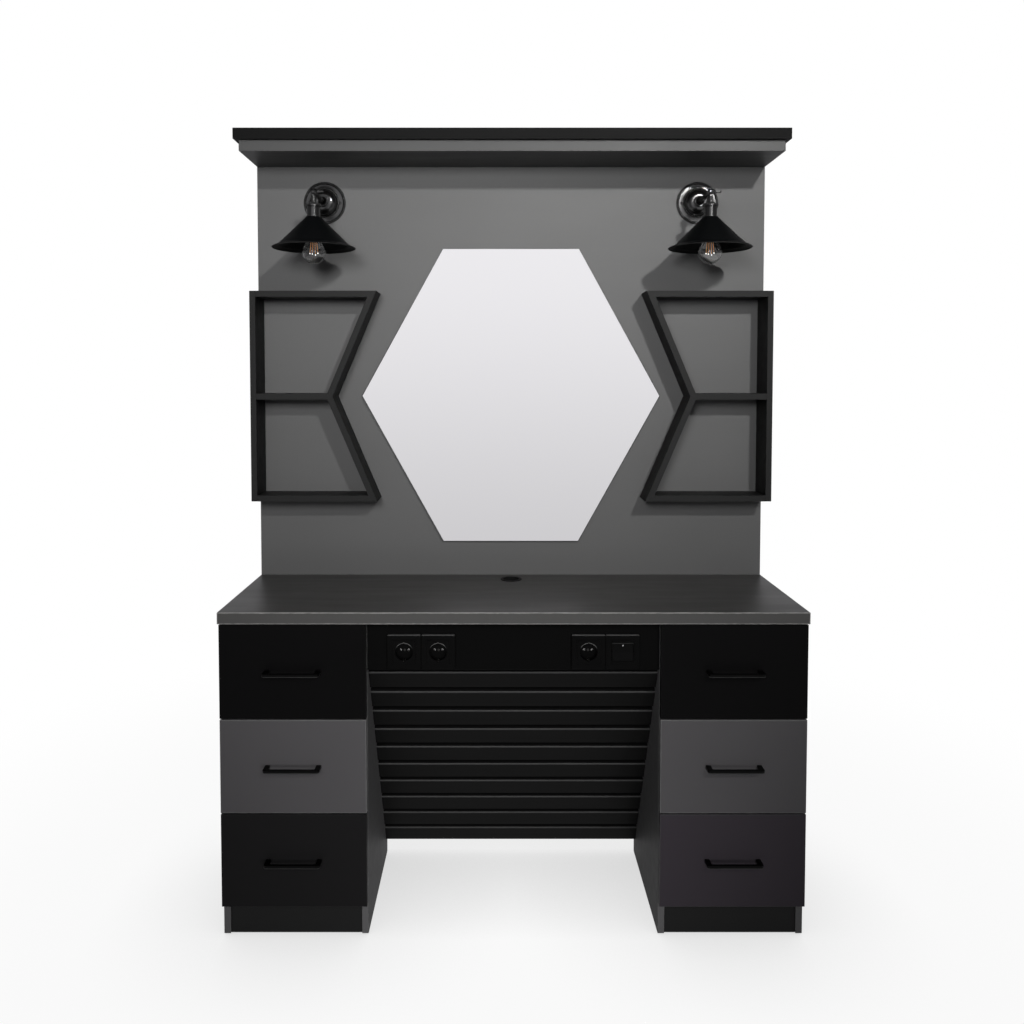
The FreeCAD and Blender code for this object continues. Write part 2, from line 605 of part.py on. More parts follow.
def rocker(x):
    """Rocker with a faint V in its face, lying at one end of its travel."""
    y, z = rocker_pivot()
    half = ROCKER_HEIGHT / 2.0
    front, back = y - ROCKER_DEPTH / 2.0, y + ROCKER_DEPTH / 2.0 - ROCKER_GAP
    outline = [(front - INSERT_PROUD, z + half), (front, z), (front - INSERT_PROUD, z - half),
               (y, z - half), (back, z - half / 2.0), (back, z + half / 2.0), (y, z + half)]
    body = prism_x(outline, x - ROCKER_WIDTH / 2.0, x + ROCKER_WIDTH / 2.0)
    reach = ROCKER_WIDTH / 2.0 + TRUNNION_LENGTH
    body = body.fuse(tube(V(x - reach, y, z), V(1, 0, 0), 2 * reach, TRUNNION_RADIUS))
    body.rotate(V(x, y, z), V(1, 0, 0), -ROCKER_TILT)
    return body.removeSplitter()


def modules():
    places = module_places()
    sockets, switch = places[:-1], places[-1]
    save("cover_plates", *[cover_plate(x) for x in places])
    save("socket_inserts", *[socket_insert(x) for x in sockets])
    save("earth_clips", *[clip for x in sockets for clip in earth_clips(x)])
    save("switch_frame", switch_frame(switch))
    save("switch_rocker", rocker(switch))


# ---- slatted knee panel ------------------------------------------------------------------
def on_slats(along, deep):
    """(y, z) of a place at a distance down the slatted face, and a depth behind it."""
    dy, dz = SLAT_RUN / SLAT_LENGTH, -SLAT_RISE / SLAT_LENGTH
    return SLAT_TOP[0] + along * dy - deep * dz, SLAT_TOP[1] + along * dz + deep * dy


def slat_prism(start, end, front, back, x0, x1):
    corners = [(start, front), (end, front), (end, back), (start, back)]
    return prism_x([on_slats(a, d) for a, d in corners], x0, x1)


def knee_panel():
    room = (SLAT_LENGTH - SLAT_COUNT * SLAT_WIDTH) / (SLAT_COUNT - 1)
    slats = []
    for i in range(SLAT_COUNT):
        start = i * (SLAT_WIDTH + room)
        slat = slat_prism(start, start + SLAT_WIDTH, 0, SLAT_THICKNESS, -X_INNER, X_INNER)
        long_edges = [e for e in slat.Edges if e.BoundBox.XLength > X_INNER]
        slats.append(slat.makeChamfer(SLAT_EDGE, long_edges))
    depth = SLAT_THICKNESS + SLAT_BACKING
    save("slats", *slats)
    save("slat_backing", slat_prism(0, SLAT_LENGTH, SLAT_THICKNESS, depth, -X_INNER, X_INNER))
    cleats = []
    for _, sign in SIDES:
        ends = (CLEAT_TOP_INSET, SLAT_LENGTH - CLEAT_BOTTOM_INSET)
        cleats.append(slat_prism(*ends, depth, depth + CLEAT, sign * X_INNER, sign * (X_INNER - CLEAT)))
    save("slat_cleats", *cleats)


# ---- wall lamps --------------------------------------------------------------------------
def facing_front(solid, x):
    """A solid turned about Z, laid against the wall panel at a lamp's plate centre."""
    solid.rotate(V(0, 0, 0), V(1, 0, 0), 90)
    solid.translate(V(x, Y_WALL, LAMP_Z))
    return solid


def arc(start, middle, end):
    """A round edge through three (radius, z) points."""
    places = [V(r, 0, z) for r, z in (start, middle, end)]
    return Part.Arc(*places).toShape()


def dome(radius, base, top_radius, top):
    """Start, middle and end of a boss's rounded flank."""
    bulge = math.sqrt(0.5)
    middle = (top_radius + (radius - top_radius) * bulge, base + (top - base) * bulge)
    return (radius, base), middle, (top_radius, top)


def lamp_plate(x):
    """Pressed round plate with a domed boss and a nut, hollow towards the wall."""
    t = LAMP_SHEET
    boss_top = PLATE_WELL + BOSS_HEIGHT
    nut_top = boss_top + ARM_NUT_LENGTH
    outer = dome(BOSS_RADIUS, PLATE_WELL, ARM_NUT_RADIUS, boss_top)
    inner = dome(BOSS_RADIUS - t, PLATE_WELL - t, ARM_NUT_RADIUS - t, boss_top - t)
    rim = PLATE_RADIUS - PLATE_RIM
    edges = lines([(PLATE_RADIUS - t, 0), (PLATE_RADIUS, 0), (PLATE_RADIUS, PLATE_RIM), (rim, PLATE_RIM),
                   (rim - t, PLATE_WELL), outer[0]])
    edges.append(arc(*outer))
    edges += lines([outer[2], (ARM_NUT_RADIUS, nut_top), (ARM_WIRE_RADIUS, nut_top),
                    (ARM_WIRE_RADIUS, boss_top - t), inner[2]])
    edges.append(arc(*reversed(inner)))
    edges += lines([inner[0], (PLATE_RADIUS - t, PLATE_WELL - t), (PLATE_RADIUS - t, 0)])
    plate = turned(edges)
    for s in (-1, 1):
        place = V(s * PLATE_SCREW_SPAN / 2.0, 0, 0)
        plate = plate.cut(tube(place, V(0, 0, 1), PLATE_RIM, PLATE_SCREW_RADIUS + PIVOT_GAP))
    return facing_front(plate, x)


def lamp_arm(x):
    """Straight tube from the plate's nut to a ball knuckle with a slot and a cross hole."""
    start = PLATE_WELL + BOSS_HEIGHT + ARM_NUT_LENGTH
    pivot = V(x, Y_LAMP, LAMP_Z)
    arm = tube(V(x, Y_WALL - start, LAMP_Z), V(0, -1, 0), LAMP_REACH - start, ARM_RADIUS)
    ball = Part.makeSphere(KNUCKLE_RADIUS, pivot)
    arm = arm.fuse(ball)
    wire = tube(V(x, Y_WALL - start, LAMP_Z), V(0, -1, 0), LAMP_REACH - start - 2 * KNUCKLE_RADIUS,
                ARM_WIRE_RADIUS)
    arm = arm.cut(wire)
    for sign in (-1, 1):
        flat = box(x + sign * KNUCKLE_HALF_WIDTH, x + sign * 2 * KNUCKLE_RADIUS, Y_LAMP - KNUCKLE_RADIUS,
                   Y_LAMP + KNUCKLE_RADIUS, LAMP_Z - KNUCKLE_RADIUS, LAMP_Z + KNUCKLE_RADIUS)
        arm = arm.cut(flat)
    half = TONGUE_THICKNESS / 2.0 + KNUCKLE_GAP
    swing = TONGUE_RADIUS + 2 * KNUCKLE_GAP
    far = 2 * KNUCKLE_RADIUS
    slot = tube(V(x - half, Y_LAMP, LAMP_Z), V(1, 0, 0), 2 * half, swing)
    front = box(x - half, x + half, Y_LAMP - far, Y_LAMP, LAMP_Z - far, LAMP_Z + far)
    below = box(x - half, x + half, Y_LAMP, Y_LAMP + swing, LAMP_Z - far, LAMP_Z - ARM_RADIUS - KNUCKLE_GAP)
    hole = tube(V(x - far, Y_LAMP, LAMP_Z), V(1, 0, 0), 2 * far, PIVOT_RADIUS + PIVOT_GAP)
    return arm.cut(slot).cut(front).cut(below).cut(hole)


def thumb_screw(x):
    """Clamp screw through the knuckle, with a flat paddle on its right-hand end."""
    y, z = Y_LAMP, LAMP_Z
    collar_x = x + KNUCKLE_HALF_WIDTH + KNUCKLE_GAP
    shank_x = x - KNUCKLE_HALF_WIDTH
    shank = tube(V(shank_x, y, z), V(1, 0, 0), collar_x - shank_x, PIVOT_RADIUS)
    collar = tube(V(collar_x, y, z), V(1, 0, 0), SCREW_COLLAR_LENGTH, SCREW_COLLAR_RADIUS)
    paddle_x = collar_x + SCREW_COLLAR_LENGTH
    paddle = box(paddle_x, paddle_x + PADDLE_LENGTH, y - PADDLE_WIDTH / 2.0, y + PADDLE_WIDTH / 2.0,
                 z - PADDLE_THICKNESS / 2.0, z + PADDLE_THICKNESS / 2.0)
    far = [e for e in paddle.Edges if e.BoundBox.ZLength > 1.0 and e.BoundBox.XMin > paddle_x + 1.0]
    paddle = paddle.makeFillet(PADDLE_CORNER, far)
    return shank.fuse(collar).fuse(paddle).removeSplitter()


def holder_z():
    """Heights below the tilt axis: cap top, holder top, holder bottom, socket bottom."""
    cap = -STEM_LENGTH
    top = cap - CAP_HEIGHT
    bottom = top - HOLDER_LENGTH
    return cap, top, bottom, bottom - SOCKET_LENGTH


def lamp_holder(x):
    """Tongue and stem, capped lamp holder, screw socket, and the ring that holds the shade."""
    cap, top, bottom, mouth = holder_z()
    neck = -KNUCKLE_RADIUS - 2 * KNUCKLE_GAP
    rounding = CAP_RADIUS - HOLDER_RADIUS
    seat = bottom - SHADE_SHEET
    body = turned(lines([(0, neck), (STEM_RADIUS, neck), (STEM_RADIUS, cap + rounding),
                         (STEM_RADIUS + rounding, cap), (CAP_RADIUS, cap - rounding), (CAP_RADIUS, top),
                         (HOLDER_RADIUS, top - CAP_HOLLOW), (HOLDER_RADIUS, mouth),
                         (SOCKET_BORE_RADIUS, mouth), (SOCKET_BORE_RADIUS, bottom - rounding),
                         (0, bottom - rounding), (0, neck)]))
    half = TONGUE_THICKNESS / 2.0
    tongue = tube(V(-half, 0, 0), V(1, 0, 0), TONGUE_THICKNESS, TONGUE_RADIUS)
    web = box(-half, half, -TONGUE_RADIUS / 2.0, TONGUE_RADIUS / 2.0, neck - rounding, 0)
    hole = tube(V(-half, 0, 0), V(1, 0, 0), TONGUE_THICKNESS, PIVOT_RADIUS + PIVOT_GAP)
    body = body.fuse(tongue).fuse(web).cut(hole).removeSplitter()
    flange = tube(V(0, 0, bottom), V(0, 0, 1), SHADE_CLAMP_FLANGE, SHADE_CLAMP_RADIUS, HOLDER_RADIUS)
    ring = tube(V(0, 0, seat), V(0, 0, -1), SHADE_CLAMP_RING, SHADE_CLAMP_RADIUS, HOLDER_RADIUS)
    return [on_lamp(body.fuse(flange).removeSplitter(), x), on_lamp(ring, x)]


def on_lamp(solid, x):
    solid.translate(V(x, Y_LAMP, LAMP_Z))
    return solid


def shade_rim_z():
    return holder_z()[2] - SHADE_CONE_HEIGHT - SHADE_RIM_DROP


def lamp_shade(x):
    """Straight cone of thin sheet with a flatter lip, open below."""
    top = holder_z()[2]
    t = SHADE_SHEET
    hole = HOLDER_RADIUS + FIT_GAP
    cone_z, rim_z = top - SHADE_CONE_HEIGHT, shade_rim_z()
    slope = math.atan2(SHADE_CONE_HEIGHT, SHADE_CONE_RADIUS - SHADE_TOP_RADIUS)
    drop = t / math.cos(slope)
    body = turned(lines([(hole, top), (SHADE_TOP_RADIUS, top), (SHADE_CONE_RADIUS, cone_z),
                         (SHADE_RIM_RADIUS, rim_z), (SHADE_RIM_RADIUS, rim_z - t),
                         (SHADE_CONE_RADIUS - t / 2.0, cone_z - drop),
                         (SHADE_TOP_RADIUS - drop + t, top - t), (hole, top - t), (hole, top)]))
    return on_lamp(body, x)


def envelope(radius, neck_radius, top, centre):
    """Closed bulb outline: neck, flank and round end, about Z."""
    def on_ball(degrees):
        turn = math.radians(degrees)
        return radius * math.cos(turn), centre + radius * math.sin(turn)

    meet = on_ball(BULB_MEETING_ANGLE)
    end = (0, centre - radius)
    neck = (neck_radius, top - BULB_NECK_LENGTH)
    flank_radius = neck[0] + BULB_FLANK_SHARE * (meet[0] - neck[0]) - BULB_FLANK_WAIST
    flank = (flank_radius, (neck[1] + meet[1]) / 2.0)
    edges = lines([(0, top), (neck_radius, top), neck])
    edges.append(arc(neck, flank, meet))
    edges.append(arc(meet, on_ball(0.0), end))
    edges += lines([end, (0, top)])
    return turned(edges)


def lamp_bulb(x):
    """Clear glass envelope, hollow, on its screw cap."""
    end = shade_rim_z() - BULB_BELOW_SHADE
    centre = end + BULB_RADIUS
    top = holder_z()[3] - BULB_SEAT_GAP
    glass = envelope(BULB_RADIUS, BULB_NECK_RADIUS, top, centre)
    inner = envelope(BULB_RADIUS - BULB_GLASS, BULB_NECK_RADIUS - BULB_GLASS, top - BULB_GLASS, centre)
    cap = tube(V(0, 0, top), V(0, 0, 1), BULB_CAP_LENGTH, BULB_CAP_RADIUS)
    return [on_lamp(glass.cut(inner), x), on_lamp(cap, x)]


def lamps():
    screws = []
    for name, sign in SIDES:
        x = sign * LAMP_X
        save(name + "_lamp_plate", lamp_plate(x))
        save(name + "_lamp_arm", lamp_arm(x))
        save(name + "_lamp_thumb_screw", thumb_screw(x))
        save(name + "_lamp_holder", *lamp_holder(x))
        save(name + "_lamp_shade", lamp_shade(x))
        save(name + "_lamp_bulb", *lamp_bulb(x))
    for x, z in plate_screw_places():
        head_y = Y_WALL - PLATE_WELL
        shank = tube(V(x, head_y, z), V(0, 1, 0), PLATE_SCREW_LENGTH, PLATE_SCREW_RADIUS)
        head = tube(V(x, head_y, z), V(0, -1, 0), PLATE_SCREW_RADIUS, PLATE_SCREW_HEAD)
        front = [e for e in head.Edges if e.BoundBox.YMax < head_y - PLATE_SCREW_RADIUS / 2.0]
        screws.append(shank.fuse(head.makeFillet(PLATE_SCREW_RADIUS / 2.0, front)).removeSplitter())
    save("lamp_plate_screws", *screws)


def main():
    os.makedirs("parts", exist_ok=True)
    side_panels()
    pedestal_inner_boards()
    floor_glides()
    drawers()
    worktop()
    wall_panel()
    canopy()
    mirror()
    for name, sign in SIDES:
        shelf_unit(name, sign)
    socket_rail()
    modules()
    knee_panel()
    lamps()


main()
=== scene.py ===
# %% [markdown]
# # A hairdresser's station
# The station is a wall panel with a six-sided mirror, two open shelf units and two tilting
# lamps, above a worktop on two pedestals of drawers. Its boards, runners and sockets come
# ready made from CAD as a frame in metres, and the frame never moves. Blender's work is the
# rest: the finish of every board, and the turned, pressed, threaded and blown pieces whose
# roundness a CAD mesh only comes near to.
# Two ways lead there. Everything could be modelled again, which would lose the exact fit, or
# the frame can stay and take new materials, with a few nodes swapped for finer pieces. The
# second keeps each drawer and lamp on its own moving body.

# %% Load the frame
import json
import math
import bmesh
import bpy
import numpy as np
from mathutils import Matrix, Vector


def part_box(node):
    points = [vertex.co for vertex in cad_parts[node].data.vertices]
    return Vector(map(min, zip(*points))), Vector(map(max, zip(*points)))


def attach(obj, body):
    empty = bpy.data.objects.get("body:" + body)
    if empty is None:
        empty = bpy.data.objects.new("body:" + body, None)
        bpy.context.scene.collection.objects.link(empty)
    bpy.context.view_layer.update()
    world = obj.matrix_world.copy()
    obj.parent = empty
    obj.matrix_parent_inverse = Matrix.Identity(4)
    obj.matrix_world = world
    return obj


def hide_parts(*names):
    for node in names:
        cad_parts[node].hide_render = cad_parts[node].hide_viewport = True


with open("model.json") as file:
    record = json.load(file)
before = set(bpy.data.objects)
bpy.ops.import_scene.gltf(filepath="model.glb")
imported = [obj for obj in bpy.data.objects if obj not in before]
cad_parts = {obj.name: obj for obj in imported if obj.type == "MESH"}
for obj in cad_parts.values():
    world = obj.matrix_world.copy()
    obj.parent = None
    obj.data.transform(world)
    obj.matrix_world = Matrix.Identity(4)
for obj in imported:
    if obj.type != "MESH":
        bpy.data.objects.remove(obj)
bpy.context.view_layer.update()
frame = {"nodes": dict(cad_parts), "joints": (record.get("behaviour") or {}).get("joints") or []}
nodes = frame["nodes"]

# %% [markdown]
# ## Places that the pieces share
# A new piece has to meet the frame, so its place is read from the frame and not typed in. A
# joint's own point gives the tilt axis of each lamp, and the corners of the wall panel's box
# give the planes of its face and back.

# %% Read the shared places
MM = 0.001
SIDES = ("left", "right")
OUTWARD = (0, -1, 0)  # away from the wall, towards the client
joint_at = {joint["name"]: joint.get("pos_m") for joint in frame["joints"]}
lamp_axis = {side: np.array(joint_at[side + "_lamp_tilt"]) for side in SIDES}
y_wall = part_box("wall_panel")[0].y
y_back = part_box("wall_panel")[1].y
print("lamp axes:", {side: lamp_axis[side].round(3).tolist() for side in SIDES})

# %% [markdown]
# ## Shapes as grids of points
# A turned or swept piece is a surface with two parameters: one runs along its outline and the
# other round it. Blender's Spin or a Screw modifier could make it, but a grid worked out as one
# array is exact, quick, and easy to read. The grid needs only its points; its faces always join
# four neighbours in the same way. Where an outline meets the axis, a whole row of points falls
# on one place, and merging them closes the pole.

# %% Turn an outline, and carry one along a path
def turned(outline, centre, steps=96, forward=(0, 0, 1)):
    """Point = centre + radius*(cos a * side + sin a * up) + height*forward, for each (radius,
    height) of the outline and each angle a round a full turn."""
    outline = np.asarray(outline, float)
    ahead = Vector(forward).normalized()
    side = ahead.orthogonal().normalized()
    up = ahead.cross(side)
    angle = np.linspace(0, 2 * np.pi, steps, endpoint=False)
    ring = np.cos(angle)[:, None] * np.array(side) + np.sin(angle)[:, None] * np.array(up)
    points = outline[:, None, :1] * ring[None] + outline[:, None, 1:] * np.array(ahead)
    return points + np.asarray(centre, float), False, True


def carried(path, section, sideways):
    """Point = path point + u*sideways + v*normal, for each (u, v) of a closed section; the
    normal is at right angles to the path's direction and to sideways."""
    path = np.asarray(path, float)
    along = np.gradient(path, axis=0)
    along /= np.linalg.norm(along, axis=1, keepdims=True)
    sideways = np.broadcast_to(np.asarray(sideways, float), along.shape)
    normal = np.cross(along, sideways)
    section = np.asarray(section, float)
    points = (path[:, None] + section[None, :, :1] * sideways[:, None]
              + section[None, :, 1:] * normal[:, None])
    first, last = points[:1].mean(1, keepdims=True), points[-1:].mean(1, keepdims=True)
    caps = [np.broadcast_to(end, points[:1].shape) for end in (first, last)]
    return np.concatenate([caps[0], points, caps[1]]), False, True


print("shape helpers ready")


# %% Make a grid into a piece
def grid_faces(rows, columns, wrap_rows, wrap_columns, start):
    """Face (i, j) joins points (i, j), (i, j+1), (i+1, j+1) and (i+1, j), counted from start."""
    i = np.arange(rows if wrap_rows else rows - 1)[:, None]
    j = np.arange(columns if wrap_columns else columns - 1)[None, :]
    below, beside = (i + 1) % rows, (j + 1) % columns
    corners = (i * columns + j, i * columns + beside, below * columns + beside, below * columns + j)
    return start + np.stack(corners, -1).reshape(-1, 4)


def piece(name, grids, material, body="station", stands_for=(), crease=38):
    """One object from several grids, in place, smooth up to the crease angle in degrees."""
    points, faces, start = [], [], 0
    for grid, wrap_rows, wrap_columns in grids:
        rows, columns = grid.shape[:2]
        faces.append(grid_faces(rows, columns, wrap_rows, wrap_columns, start))
        points.append(grid.reshape(-1, 3))
        start += rows * columns
    mesh = bpy.data.meshes.new(name)
    mesh.from_pydata(np.concatenate(points), [], np.concatenate(faces).tolist())
    work = bmesh.new()
    work.from_mesh(mesh)
    bmesh.ops.remove_doubles(work, verts=work.verts, dist=1e-6)
    bmesh.ops.recalc_face_normals(work, faces=work.faces)
    work.to_mesh(mesh)
    work.free()
    mesh.shade_smooth()
    mesh.set_sharp_from_angle(angle=math.radians(crease))
    made = bpy.data.objects.new(name, mesh)
    bpy.context.scene.collection.objects.link(made)
    mesh.materials.append(material)
    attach(made, body)
    if stands_for:
        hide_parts(*stands_for)
    print(name, "faces:", len(mesh.polygons))
    return made


# %% [markdown]
# ## Small helpers for node trees
# A material is a tree of nodes. Writing each node, setting and link by hand would bury the
# idea, so one helper adds a node with its settings and links in one line, and short ones built
# on it name the sums that come back in every material. A helper for node groups makes the
# group's named sockets, so that one effect serves many materials, each with its own values.

# %% Helpers for nodes and groups
def node(tree, kind, plugs=None, **settings):
    """Adds a shader node. plugs sets inputs by name or number: an output is linked and a value
    typed in."""
    made = tree.nodes.new("ShaderNode" + kind)
    for key, value in settings.items():
        setattr(made, key, value)
    for key, value in (plugs or {}).items():
        if isinstance(value, bpy.types.NodeSocket):
            tree.links.new(value, made.inputs[key])
        else:
            made.inputs[key].default_value = value
    return made


def calc(tree, operation, *values):
    """The result of a Math node."""
    return node(tree, "Math", dict(enumerate(values)), operation=operation).outputs[0]


def vector_calc(tree, operation, *values):
    """The vector result of a Vector Math node."""
    return node(tree, "VectorMath", dict(enumerate(values)), operation=operation).outputs[0]


def measured(tree, operation, *values):
    """The single number that a Vector Math node gives for a length, distance or dot product."""
    made = node(tree, "VectorMath", dict(enumerate(values)), operation=operation)
    return made.outputs["Value"]


def scaled(tree, colour, amount):
    """A colour made lighter or darker: each of its parts times the amount."""
    return node(tree, "VectorMath", {0: colour, "Scale": amount}, operation="SCALE").outputs[0]


def fade(tree, value, start, end):
    """0 at start and 1 at end, with a soft curve between them."""
    plugs = {"Value": value, "From Min": start, "From Max": end}
    return node(tree, "MapRange", plugs, interpolation_type="SMOOTHSTEP").outputs[0]


def between(tree, share, low, high):
    """low where the share is 0 and high where it is 1."""
    return calc(tree, "MULTIPLY_ADD", share, high - low, low)


def speckle(tree, place, scale, detail=2.0):
    """Noise round 0, from about -0.5 to 0.5."""
    plugs = {"Vector": place, "Scale": scale, "Detail": detail}
    return calc(tree, "SUBTRACT", node(tree, "TexNoise", plugs).outputs[0], 0.5)


def effect(name, takes, gives):
    """A node group with named inputs (name: kind and first value) and outputs (name: kind)."""
    tree = bpy.data.node_groups.new(name, "ShaderNodeTree")
    for label, (kind, first) in takes.items():
        kind = "NodeSocket" + kind
        socket = tree.interface.new_socket(name=label, in_out="INPUT", socket_type=kind)
        socket.default_value = first
    for label, kind in gives.items():
        tree.interface.new_socket(name=label, in_out="OUTPUT", socket_type="NodeSocket" + kind)
    return tree, tree.nodes.new("NodeGroupInput").outputs, tree.nodes.new("NodeGroupOutput")


def give(tree, end, **results):
    """Links results to the group's outputs."""
    for label, result in results.items():
        tree.links.new(result, end.inputs[label])


def here(tree):
    """The point being shaded, in the frame's own metres."""
    return node(tree, "TexCoord").outputs["Object"]


print("node helpers ready")

# %% [markdown]
# ## The laminate's skin
# The boards are chipboard pressed under a sheet of printed melamine. The press plate leaves a
# fine pearl, a little under a millimetre across, and wiping leaves long faint streaks of gloss.
# A noise texture of that size drives the bump; a second, stretched along the board, changes the
# roughness, so that a large plain board doesn't shine evenly.

# %% Group: laminate skin
skin, into, out = effect(
    "laminate skin",
    {"Colour": ("Color", (0.1, 0.1, 0.1, 1)), "Roughness": ("Float", 0.5),
     "Pearl": ("Float", 0.08)},
    {"Colour": "Color", "Roughness": "Float", "Height": "Float"})
spot = here(skin)
pearl = speckle(skin, spot, 1300.0, 1.0)
cloud = speckle(skin, spot, 3.2, 3.0)
streak = speckle(skin, vector_calc(skin, "MULTIPLY", spot, (1.5, 9.0, 9.0)), 4.0, 4.0)
tone = calc(skin, "ADD", calc(skin, "MULTIPLY", pearl, into["Pearl"]),
            calc(skin, "MULTIPLY", cloud, 0.10))
tint = scaled(skin, into["Colour"], calc(skin, "ADD", tone, 1.0))
gloss = calc(skin, "MULTIPLY_ADD", streak, 0.16, into["Roughness"])
give(skin, out, Colour=tint, Roughness=gloss, Height=pearl)
print("group:", skin.name)

# %% [markdown]
# ## Edges: wear, bands and painted highlights
# A board's edges are covered by a thin edge band set in glue and broken by a small chamfer, which
# catches the light and loses its pearl where hands and cloths rub it. The mask needs no texture of
# its own. The lighter colour that a material gives it is partly that wear and partly a painted
# highlight for the light the chamfer catches. On a face of a box the nearest of its three pairs
# of planes is at distance nought, so the second nearest is the way to the closest edge. Noise
# makes the mask uneven.
# A second group marks the forward faces alone, by their distance behind a plane. The grey that a
# material gives that face is partly the edge band and partly painted light: the face that looks
# towards the lamps is set lighter, and the rest of the board, its underside too, darker in
# painted shade.

# %% Groups: board edge, front edge
edge, into, out = effect(
    "board edge",
    {"Low": ("Vector", (0, 0, 0)), "High": ("Vector", (1, 1, 1)), "Band": ("Float", 0.0015)},
    {"Mask": "Float"})
spot = here(edge)
from_low = vector_calc(edge, "SUBTRACT", spot, into["Low"])
from_high = vector_calc(edge, "SUBTRACT", into["High"], spot)
nearest = vector_calc(edge, "ABSOLUTE", vector_calc(edge, "MINIMUM", from_low, from_high))
x, y, z = node(edge, "SeparateXYZ", {0: nearest}).outputs
middle = calc(edge, "MAXIMUM", calc(edge, "MINIMUM", x, y),
              calc(edge, "MINIMUM", calc(edge, "MAXIMUM", x, y), z))
rough_band = calc(edge, "MULTIPLY", into["Band"],
                  calc(edge, "MULTIPLY_ADD", speckle(edge, spot, 70.0, 3.0), 1.2, 1.0))
give(edge, out, Mask=fade(edge, middle, rough_band, 0.0))
front, into, out = effect("front edge", {"Plane": ("Float", 0.0), "Band": ("Float", 0.0012)},
                          {"Mask": "Float"})
spot = here(front)
behind = calc(front, "SUBTRACT", node(front, "SeparateXYZ", {0: spot}).outputs[1], into["Plane"])
uneven = calc(front, "MULTIPLY_ADD", speckle(front, spot, 80.0, 3.0), 0.9 * MM, behind)
give(front, out, Mask=fade(front, uneven, into["Band"], 0.0))
print("groups:", edge.name, "and", front.name)

# %% [markdown]
# ## Dust and finger marks
# Dust settles on what faces up, and more of it stays where nobody wipes. Finger marks gather
# round a handle. Both are only masks here: each material decides how much lighter or glossier
# they make it.

# %% Groups: dust, finger marks
dust, into, out = effect("settled dust", {"Amount": ("Float", 0.3)}, {"Mask": "Float"})
facing_up = node(dust, "SeparateXYZ", {0: node(dust, "NewGeometry").outputs["Normal"]}).outputs[2]
patch = fade(dust, speckle(dust, here(dust), 9.0, 4.0), -0.25, 0.35)
lying = calc(dust, "MULTIPLY", fade(dust, facing_up, 0.5, 1.0), patch)
give(dust, out, Mask=calc(dust, "MULTIPLY", lying, into["Amount"]))

touch, into, out = effect(
    "finger marks",
    {"Centre": ("Vector", (0, 0, 0)), "Reach": ("Float", 0.1)},
    {"Mask": "Float"})
spot = here(touch)
away = measured(touch, "DISTANCE", spot, into["Centre"])
marks = fade(touch, speckle(touch, spot, 48.0, 2.0), 0.02, 0.16)
near = fade(touch, away, into["Reach"], 0.0)
give(touch, out, Mask=calc(touch, "MULTIPLY", marks, near))
print("groups:", dust.name, "and", touch.name)


# %% [markdown]
# ## One laminate for every board
# Each board is one box, so one function dresses it: skin, then edge, then dust. Only the edge's
# mask needs the board's own corners, which the frame knows. A mix by a mask keeps each colour
# plain to read in the tree.

# %% Dress a single board
def group(tree, kind, plugs=None):
    """Places a shared effect and gives its outputs."""
    return node(tree, "Group", plugs, node_tree=kind).outputs


def mixed(tree, mask, first, second):
    """first where the mask is 0 and second where it is 1, for two colours."""
    return node(tree, "Mix", {0: mask, 6: first, 7: second}, data_type="RGBA").outputs[2]


def finish_of(name, **plain):
    """An empty material with its shader, whose plain values are set on the shader's sockets."""
    material = bpy.data.materials.new(name)
    material.use_nodes = True
    tree = material.node_tree
    shader = tree.nodes["Principled BSDF"]
    for label, value in plain.items():
        shader.inputs[label.replace("_", " ")].default_value = value
    return material, tree, shader


def wire(tree, shader, height=None, depth=0.02 * MM, **results):
    """Links results to the shader, and a height through a Bump node."""
    for label, result in results.items():
        tree.links.new(result, shader.inputs[label.replace("_", " ")])
    if height is not None:
        plugs = {"Height": height, "Distance": depth, "Strength": 1.0}
        tree.links.new(node(tree, "Bump", plugs).outputs[0], shader.inputs["Normal"])


def dress(material, *names):
    """The finish of these CAD nodes."""
    for name in names:
        nodes[name].data.materials.clear()
        nodes[name].data.materials.append(material)


def shade_of(level, warm=0.0, plum=0.0):
    """A grey as a colour, a little warm (or cold, below 0) or plum."""
    return (level * (1 + warm + plum), level * (1 - 0.3 * plum), level * (1 - warm + 1.2 * plum), 1)


def dusted(tree, colour, amount):
    """A colour under settled dust."""
    return mixed(tree, group(tree, dust, {"Amount": amount})["Mask"], colour, shade_of(0.30, 0.05))


PEARL, HANDLE_REACH = 0.16, 120 * MM


def laminate(name, board, level, warm=0.0, plum=0.0, roughness=0.5, sheen=0.3, worn=1.7, band=None,
             edge_width=1.6 * MM, handle=None):
    """Melamine laminate for one box-shaped board: skin, edge, dust, marks near a handle, and
    another grey on the face that looks forward, partly an edge band and partly painted light.
    worn says how much lighter than the rest the edge is, partly wear and partly a
    painted highlight: its level is worn * the lighter of board and band, and a
    trifle more."""
    material, tree, shader = finish_of(name, Specular_IOR_Level=sheen)
    low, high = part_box(board)
    base = shade_of(level, warm, plum)
    surface = group(tree, skin, {"Colour": base, "Roughness": roughness, "Pearl": PEARL})
    rim = group(tree, edge, {"Low": low, "High": high, "Band": edge_width})["Mask"]
    colour = surface["Colour"]
    # the face that looks forward: partly an edge band, partly painted light
    if band is not None:
        front_band_and_light = group(tree, front, {"Plane": low.y})["Mask"]
        colour = mixed(tree, front_band_and_light, colour, shade_of(band, warm, plum))
    # edge lines: partly wear, partly a painted highlight
    colour = mixed(tree, rim, colour, shade_of(max(level, band or 0.0) * worn + 0.004, warm))
    colour = dusted(tree, colour, 0.05)
    gloss = surface["Roughness"]
    if handle is not None:
        greasy = group(tree, touch, {"Centre": handle, "Reach": HANDLE_REACH})["Mask"]
        gloss = calc(tree, "MULTIPLY_ADD", greasy, -0.14, gloss)
    wire(tree, shader, surface["Height"], Base_Color=colour, Roughness=gloss)
    dress(material, board)
    return material


print("laminate ready")
